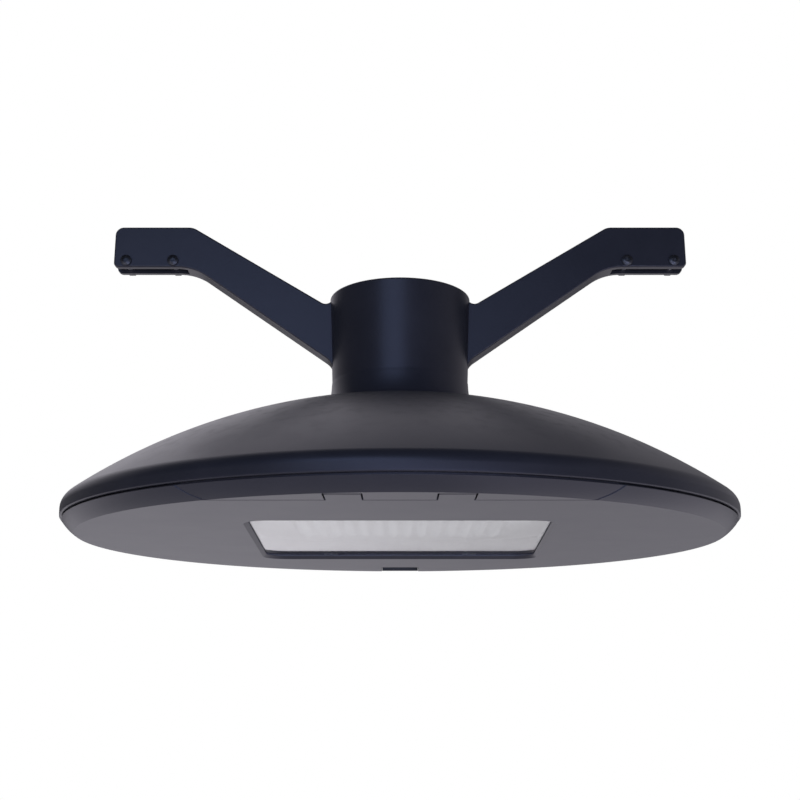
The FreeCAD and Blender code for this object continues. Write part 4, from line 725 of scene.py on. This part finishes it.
# Gear tray: a round plate of plain aluminium, screwed up to the six columns of the dome.
# The heat plate of the light source is a second, thicker one under its middle.


def rolled_sheet(tree, place):
    """Mill-finish aluminium: rolling lines one way, and a light oxide bloom."""
    stretched = Wire.node(tree, "ShaderNodeMapping", {}, {"Vector": place, "Scale": (40, 1, 1)})
    lines = noise(tree, stretched, 60, 4)
    bloom = noise(tree, place, 25, 4)
    colour = blend(tree, bloom.ease(0.35, 0.75), (0.72, 0.73, 0.75, 1), (0.60, 0.61, 0.63, 1))
    return {
        "Base Color": colour,
        "Roughness": 0.30 + lines * 0.12 + bloom * 0.12,
        "Normal": bump(tree, lines, 0.000008),
    }


bare_aluminium = surface("bare_aluminium", {"Metallic": 1.0}, rolled_sheet)
dress_cad("gear_tray", 0.3, bare_aluminium, "housing", "bare_aluminium")
dress_cad("led_heat_plate", 0.4, bare_aluminium, "housing", "bare_aluminium")
tray_heads = [(x, y, 33) for x, y in tray_spots]
steel_screws("tray_screws", "housing", tray_heads, UP, head=4.6, height=2.8, shank=2, length=12)

# Light source: a metal-core board with rows of chips, under one moulded plate of clear lenses.
# Four screws clamp lens plate and board to the heat plate.

LENS_COLUMNS = 14
LENS_ROWS = 9
LENS_ACROSS = 14.2
LENS_ALONG = 27
LENS_PLATE_LOW = 25.8
LENS_PLATE_TOP = 27.4
CHIP_HALF = 1.75
RUN_HALF = 0.8
PAST_ZERO = 100
led_spots = [(x, y) for x in (-71, 71) for y in (-117.8, 117.8)]


def chip_board(tree, place):
    """Grey metal-core board with a yellow chip behind every lens and copper runs between them."""
    x, y = along_axes(tree, place)[:2]
    across = (x / (LENS_ACROSS * MM) + PAST_ZERO).math("FRACT") - 0.5
    along = (y / (LENS_ALONG * MM) + (PAST_ZERO + 0.5)).math("FRACT") - 0.5
    across_gap = across.math("ABSOLUTE") * (LENS_ACROSS * MM)
    along_gap = along.math("ABSOLUTE") * (LENS_ALONG * MM)
    chip = (across_gap < CHIP_HALF * MM) * (along_gap < CHIP_HALF * MM)
    run = (along_gap < RUN_HALF * MM) * 0.18
    speckle = noise(tree, place, 700, 2)
    mask = blend(tree, speckle, (0.17, 0.175, 0.185, 1), (0.22, 0.225, 0.235, 1))
    tracked = blend(tree, run, mask, (0.40, 0.36, 0.30, 1))
    colour = blend(tree, chip, tracked, (0.83, 0.62, 0.12, 1))
    return {"Base Color": colour, "Roughness": 0.38 + speckle * 0.12}


white_board = surface("white_board", {}, chip_board)
dress_cad("led_board", 0.15, white_board, "housing", "white_board")


def moulded_lens(tree, place):
    """Clear acrylic with a light haze."""
    haze = noise(tree, place, 240, 3)
    tint = blend(tree, haze, (0.86, 0.88, 0.90, 1), (0.95, 0.96, 0.97, 1))
    return {"Base Color": tint, "Roughness": 0.06 + haze * 0.10}


clear_lens = surface("clear_lens", {"Transmission Weight": 0.5, "IOR": 1.49}, moulded_lens)
lens_sizes = {
    "Geometry": "Geometry",
    "Columns": "Int",
    "Rows": "Int",
    "Width": "Float",
    "Length": "Float",
    "Lens Radius": "Float",
    "Lens Wall": "Float",
    "Lens Crown": "Float",
    "Level": "Float",
    "Finish": "Material",
}
lens_tree, size = geometry_tree("lens_field", lens_sizes)
grid = {
    "Size X": size["Width"],
    "Size Y": size["Length"],
    "Vertices X": size["Columns"],
    "Vertices Y": size["Rows"],
}
field = Wire.node(lens_tree, "GeometryNodeMeshGrid", {}, grid, "Mesh")
level = Wire.node(lens_tree, "ShaderNodeCombineXYZ", {}, {"Z": size["Level"]})
field_put = Wire.node(lens_tree, "GeometryNodeTransform", {}, {"Geometry": field, "Translation": level})
lens = domed(lens_tree, size["Lens Radius"], size["Lens Wall"], size["Lens Crown"], 12)
lenses = Wire.node(lens_tree, "GeometryNodeInstanceOnPoints", {}, {"Points": field_put, "Instance": lens})
give_out(lens_tree, joined(lens_tree, lenses, size["Geometry"]), size["Finish"])
plate_corners = rounded(rectangle(-101, 101, -122, 122), [5] * 4, 6)
lens_plate = slab("led_lens_plate_finished", plate_corners, LENS_PLATE_LOW, LENS_PLATE_TOP)
carve(lens_plate, [rod("hole", spot, 1.9, 25, 28, steps=16) for spot in led_spots])
lens_values = {
    "Columns": LENS_COLUMNS,
    "Rows": LENS_ROWS,
    "Width": (LENS_COLUMNS - 1) * LENS_ACROSS * MM,
    "Length": (LENS_ROWS - 1) * LENS_ALONG * MM,
    "Lens Radius": 5.4 * MM,
    "Lens Wall": 0.8 * MM,
    "Lens Crown": 3.3 * MM,
    "Level": (LENS_PLATE_LOW + 0.6) * MM,
    "Finish": clear_lens,
}
run_tree(lens_plate, lens_tree, lens_values, 40)
dress(lens_plate, clear_lens, "housing", "clear_lens", "led_lens_plate")
led_heads = [(x, y, LENS_PLATE_LOW) for x, y in led_spots]
steel_screws("led_screws", "housing", led_heads, UP, head=3.0, height=2.0, shank=1.7, length=10)

# Control gear on top of the tray: a potted driver in a pressed and enamelled case, a surge protector
# in the same finish, and a moulded terminal block. They sit out of sight under the dome.


def painted_case(tree, place):
    """Light grey enamel with a fine texture."""
    grain = noise(tree, place, 1500, 2)
    cloud = noise(tree, place, 35, 3)
    colour = blend(tree, cloud, (0.66, 0.66, 0.64, 1), (0.76, 0.76, 0.74, 1))
    return {"Base Color": colour, "Roughness": 0.42 + grain * 0.16, "Normal": bump(tree, grain, 0.00002)}


def terminal_plastic(tree, place):
    """Mid grey moulded plastic, fine and matt."""
    grain = noise(tree, place, 1900, 2)
    cloud = noise(tree, place, 60, 3)
    colour = blend(tree, cloud, (0.31, 0.32, 0.33, 1), (0.39, 0.40, 0.41, 1))
    return {"Base Color": colour, "Roughness": 0.45 + grain * 0.15, "Normal": bump(tree, grain, 0.00002)}


gear_case = surface("gear_case", {}, painted_case)
terminal_grey = surface("terminal_grey", {}, terminal_plastic)
dress_cad("led_driver", 0.8, gear_case, "housing", "gear_case")
dress_cad("surge_protector", 0.8, gear_case, "housing", "gear_case")
dress_cad("terminal_block", 0.4, terminal_grey, "housing", "terminal_grey")
driver_heads = [(x, 62, 40) for x in (-93, 93)]
steel_screws("driver_screws", "housing", driver_heads, DOWN, head=3.8, height=2.4, shank=2, length=6.5)

# Neck: a hollow, slightly flared post with a curved foot, a flange inside and a recess for its cap.
# One turned casting in the graphite coat; four bolts pull it to the dome from inside.

NECK_FOOT = 63.2
NECK_HEAD = 67
NECK_LOW = 130.98
NECK_TOP = 232.8
NECK_STEPS = 144
FLARE_FOOT = 71.4
FLARE_WIDTH = 7.2
FLARE_TOP = 150
FLARE_HEIGHT = 27
FLANGE_TOP = 131.98
CAP_FLOOR = 227.8
ARM_BOLTS = (192.7, 211.7)
cap_spots = on_circle(59.5, (90, 210, 330))


def neck_radius(height):
    """The radius of the tapered post."""
    return NECK_FOOT + (NECK_HEAD - NECK_FOOT) * (height - NECK_LOW) / (NECK_TOP - NECK_LOW)


flare = []
for i in range(1, 16):
    turn = i * math.pi / 32
    flare.append((FLARE_FOOT - FLARE_WIDTH * math.sin(turn), FLARE_TOP - FLARE_HEIGHT * math.cos(turn)))
neck = lathe(
    "neck_finished",
    [
        (28, SEAT),
        (50.8, SEAT),
        (50.8, SEAT + 2.1),
        (54.2, SEAT + 2.1),
        (54.2, SEAT),
        (70.9, SEAT),
        (71.2, SEAT + 0.3),
        (71.2, SEAT + 1),
        *flare,
        *[(neck_radius(z), z) for z in (FLARE_TOP, 170, 190, 210, 225, 230.8)],
        *arc((NECK_HEAD - 2, NECK_TOP - 2), 2, 15, 90, 6),
        (63.4, NECK_TOP),
        (63, NECK_TOP - 0.4),
        (63, CAP_FLOOR),
        (56, CAP_FLOOR),
        (56, FLANGE_TOP),
        (28, FLANGE_TOP),
    ],
    NECK_STEPS,
)
drills = [rod("drill", (0, z), 4.1, -70, 70, FACING_X, steps=24) for z in ARM_BOLTS]
drills += [rod("drill", spot, 4.1, SEAT - 1, 133, steps=24) for spot in seat_spots]
drills += [rod("drill", spot, 1.75, 218.8, 229, steps=12) for spot in cap_spots]
carve(neck, drills)
ease_edges(neck, 0, 28)
dress(neck, graphite_paint, "housing", "graphite_paint", "neck")
dress_cad("neck_seal", 0, seal_rubber, "housing", "seal_rubber", 60)
dress_cad("neck_washers", 0.2, stainless_steel, "housing", "stainless_steel")
dress_cad("neck_bolts", 0.4, stainless_steel, "housing", "stainless_steel")

# Arms: two equal flat castings that hug the neck and rise to level ends. An open channel under
# each end takes the span wire, a bore carries it on, and bolts from inside the neck hold the arm.

ARM_HALF = 12
ARM_END = 275.5
ARM_TOP = 304.1
ARM_LOW = 263.1
WIRE_HEIGHT = 280
WIRE_RADIUS = 6
CLAMP_REACH = (263.4, 218.4)
CLAMP_HEIGHT = 269.6


def neck_side(height):
    """Where an arm's flat face runs into the tapered neck."""
    return math.sqrt(neck_radius(height) ** 2 - ARM_HALF**2) - 0.2


arm_corners = [
    (59, 155.7, 0),
    (neck_side(155.7), 155.7, 0),
    (neck_side(167.7), 167.7, 17),
    (199, ARM_LOW, 50),
    (ARM_END, ARM_LOW, 5),
    (ARM_END, ARM_TOP, 8),
    (200.5, ARM_TOP, 15),
    (neck_side(221.6) + 5.4, 224.9, 7),
    (neck_side(228.6), 228.6, 2.8),
    (neck_side(232.2), 232.2, 0),
    (59, 232.2, 0),
]
arm_plan = rounded([(x, z) for x, z, radius in arm_corners], [radius for x, z, radius in arm_corners], 14)
channel_top = arc((0, WIRE_HEIGHT), WIRE_RADIUS, 0, 180, 16)
channel = [(-WIRE_RADIUS, ARM_LOW - 1), (WIRE_RADIUS, ARM_LOW - 1), *channel_top]
post = [(0, 150), (neck_radius(150) + 0.05, 150), (neck_radius(240) + 0.05, 240), (0, 240)]
for side, node in ((-1, "left_arm"), (1, "right_arm")):
    arm = slab(node + "_finished", [(side * x, z) for x, z in arm_plan], -ARM_HALF, ARM_HALF, FACING_Y)
    round_edges(arm, 1.7, 3, 50)
    tools = [
        lathe("post", post, NECK_STEPS),
        slab("channel", channel, *on_side(side, 203, 280), FACING_X),
        rod("bore", (0, WIRE_HEIGHT), WIRE_RADIUS, *on_side(side, 118, 206), FACING_X),
    ]
    tools += [rod("hole", (side * x, CLAMP_HEIGHT), 3.2, -13, 13, FACING_Y, 24) for x in CLAMP_REACH]
    tools += [rod("hole", (0, z), 4.1, *on_side(side, 56, 85), FACING_X, 24) for z in ARM_BOLTS]
    carve(arm, tools)
    ease_edges(arm, 0.3, 28)
    dress(arm, graphite_paint, "housing", "graphite_paint", node)
dress_cad("arm_bolts", 0.4, stainless_steel, "housing", "stainless_steel")

# Clamp bolts: four steel button heads across the wire channels, with plain nuts behind the arms.
# Heads and nuts carry painted shade: their stainless colour is darkened to stand in for the dark
# surroundings they reflect, while the shanks in the channels keep the bright stainless colour.


def stainless_with_painted_shade(tree, place):
    """Stainless steel with painted shade: a patchy dark colour stands in for dark reflections, except
    along the shanks, which stay bright.
    """
    mottle = noise(tree, place, 420, 3)
    off_middle = along_axes(tree, place)[1].math("ABSOLUTE")
    shank = 1 - off_middle.ease(0.0105, 0.012)
    # Painted shade: heads and nuts darkened to stand in for the dark surroundings that stainless reflects.
    black = blend(tree, mottle.ease(0.45, 0.8), (0.05, 0.052, 0.06, 1), (0.14, 0.14, 0.15, 1))
    colour = blend(tree, shank, black, (0.93, 0.93, 0.94, 1))
    return {"Base Color": colour, "Roughness": 0.34 + mottle * 0.15, "Normal": bump(tree, mottle, 0.00001)}


# Stainless steel with painted shade on the heads and nuts of the clamp bolts.
painted_shade_steel = surface("painted_shade_steel", {"Metallic": 0.85}, stainless_with_painted_shade)
clamp_spots = [(side * x, -ARM_HALF, CLAMP_HEIGHT) for side in (-1, 1) for x in CLAMP_REACH]
clamp_sizes = {"head": 5.25, "height": 3.3, "shank": 3, "length": 31}
screws("clamp_bolts", "housing", clamp_spots, BACK, painted_shade_steel, "stainless_steel", **clamp_sizes)
dress_cad("clamp_nuts", 0.4, painted_shade_steel, "housing", "stainless_steel")

# Cap of the neck with its seal and three screws, and the cable gland that stands on it.
# The cap is coated sheet; the gland is black nylon around a rubber grommet.

dress_cad("neck_cap", 0.4, graphite_paint, "housing", "graphite_paint")
dress_cad("cap_seal", 0.1, seal_rubber, "housing", "seal_rubber")
cap_heads = [(x, y, NECK_TOP) for x, y in cap_spots]
steel_screws("cap_screws", "housing", cap_heads, DOWN, head=3.3, height=2.2, shank=1.7, length=11)
dress_cad("gland_body", 0.4, black_plastic, "housing", "black_plastic")
dress_cad("gland_nut", 0.3, black_plastic, "housing", "black_plastic")
dress_cad("gland_grommet", 0.3, seal_rubber, "housing", "seal_rubber")
dress_cad("gland_locknut", 0.4, black_plastic, "housing", "black_plastic")

# Studio: a wide pale floor that glows a little like a light table, well below the hanging light and
# white far out. The room is dim and brighter behind on the left. Two cool soft lamps stand behind the
# camera, one high on the left and one low on the right.

FLOOR_LEVEL = -2.0
FLOOR_REACH = 28
FLOOR_GLOW = 0.42
ROOM_LEVEL = 0.05
WHITE = (1, 1, 1, 1)
COOL_WHITE = (0.95, 0.92, 1, 1)
bpy.context.scene.view_settings.view_transform = "Standard"


def rays(tree, *names):
    """1 for the named kinds of rays."""
    paths = tree.nodes.new("ShaderNodeLightPath")
    found = [Wire(paths.outputs[f"Is {name} Ray"]) for name in names]
    whole = found[0]
    for wire in found[1:]:
        whole = whole.math("MAXIMUM", wire)
    return whole


floor_mesh = bpy.data.meshes.new("studio_floor")
built = bmesh.new()
bmesh.ops.create_circle(built, cap_ends=True, segments=96, radius=FLOOR_REACH)
built.to_mesh(floor_mesh)
built.free()
floor_mesh.transform(Matrix.Translation((0, 0, FLOOR_LEVEL)))
floor = bpy.data.objects.new("studio_floor", floor_mesh)
bpy.context.collection.objects.link(floor)
pale = bpy.data.materials.new("pale_floor")
pale.use_nodes = True
tree = pale.node_tree
tree.nodes.clear()
place = Wire.node(tree, "ShaderNodeTexCoord", {}, {}, "Object")
from_middle = Wire.node(tree, "ShaderNodeVectorMath", {"operation": "LENGTH"}, {0: place}, "Value")
matt = Wire.node(tree, "ShaderNodeBsdfDiffuse", {}, {"Color": (0.82, 0.82, 0.83, 1)})
seen = rays(tree, "Camera", "Transmission")
glow = blend(tree, seen, COOL_WHITE, WHITE)
white = Wire.node(tree, "ShaderNodeEmission", {}, {"Color": glow, "Strength": 1.0})
x, y = along_axes(tree, place)[:2]
glossy = rays(tree, "Glossy")
mirrored = glossy * (0.86 - x.ease(-4, 4) * y.ease(4.8, 7.6) * 0.53)
far_out = from_middle.ease(2.8, 6.0) * seen.math("MAXIMUM", mirrored)
right_card = glossy * x.ease(-0.1, 0.9) * (1 - x.ease(5, 8)) * y.ease(-4, -2) * (1 - y.ease(2.5, 4.5))
share = far_out.math("MAXIMUM", right_card).math("MAXIMUM", FLOOR_GLOW)
mixed = Wire.node(tree, "ShaderNodeMixShader", {}, {0: share, 1: matt, 2: white})
tree.links.new(mixed.socket, tree.nodes.new("ShaderNodeOutputMaterial").inputs["Surface"])
floor_mesh.materials.append(pale)

world = bpy.data.worlds.new("studio")
bpy.context.scene.world = world
world.use_nodes = True
tree = world.node_tree
tree.nodes.clear()
way = Wire.node(tree, "ShaderNodeTexCoord", {}, {}, "Generated")
x, y, z = along_axes(tree, way)
behind = y.ease(0.05, 0.7) * z.ease(0.08, 0.4)
leftward = 0 - x
left_glow = leftward.ease(-0.1, 0.4) * (1 - leftward.ease(0.5, 0.75)) * behind * 0.54
back_glow = behind * (0.6 - x.ease(0, 0.45) * 0.32)
right_fill = x.ease(0.6, 0.9) * z.ease(0.12, 0.3) * (1 - y.ease(0.3, 0.6)) * 0.2
right_low = x.ease(0.3, 0.5) * z.ease(0.04, 0.12) * (1 - z.ease(0.22, 0.34)) * y.ease(-0.2, 0.2) * 0.24
room = left_glow + back_glow + right_fill + right_low + ROOM_LEVEL
backdrop = rays(tree, "Camera", "Transmission")
level = room + backdrop * (1 - room)
tint = blend(tree, backdrop, COOL_WHITE, WHITE)
studio = Wire.node(tree, "ShaderNodeBackground", {}, {"Color": tint, "Strength": level})
tree.links.new(studio.socket, tree.nodes.new("ShaderNodeOutputWorld").inputs["Surface"])


def lamp(name, place, target, size, power, colour):
    """A soft rectangular lamp that faces a target."""
    light = bpy.data.lights.new(name, "AREA")
    light.shape = "RECTANGLE"
    light.size, light.size_y = size
    light.energy = power
    light.color = colour
    holder = bpy.data.objects.new(name, light)
    holder.location = place
    holder.rotation_euler = (Vector(target) - Vector(place)).to_track_quat("-Z", "Y").to_euler()
    holder.visible_camera = False
    bpy.context.collection.objects.link(holder)


lamp("front_lamp", (-0.45, -2.2, 0.7), (0, 0, 0.15), size=(1.4, 0.8), power=6.6, colour=(0.46, 0.62, 1))
lamp("low_lamp", (0.35, -2.0, -0.3), (0, 0, 0), size=(1.2, 0.3), power=9, colour=(0.5, 0.6, 1))

# Camera: in front and a little below the underside, looking up at the hanging light, with a normal
# lens and no shift.

view = bpy.data.cameras.new("camera")
view.lens = 50.22
view.sensor_width = 36
camera = bpy.data.objects.new("camera", view)
camera.location = (0, -1.0216, -0.1191)
camera.rotation_euler = (math.radians(103.93), 0, 0)
bpy.context.collection.objects.link(camera)
bpy.context.scene.camera = camera
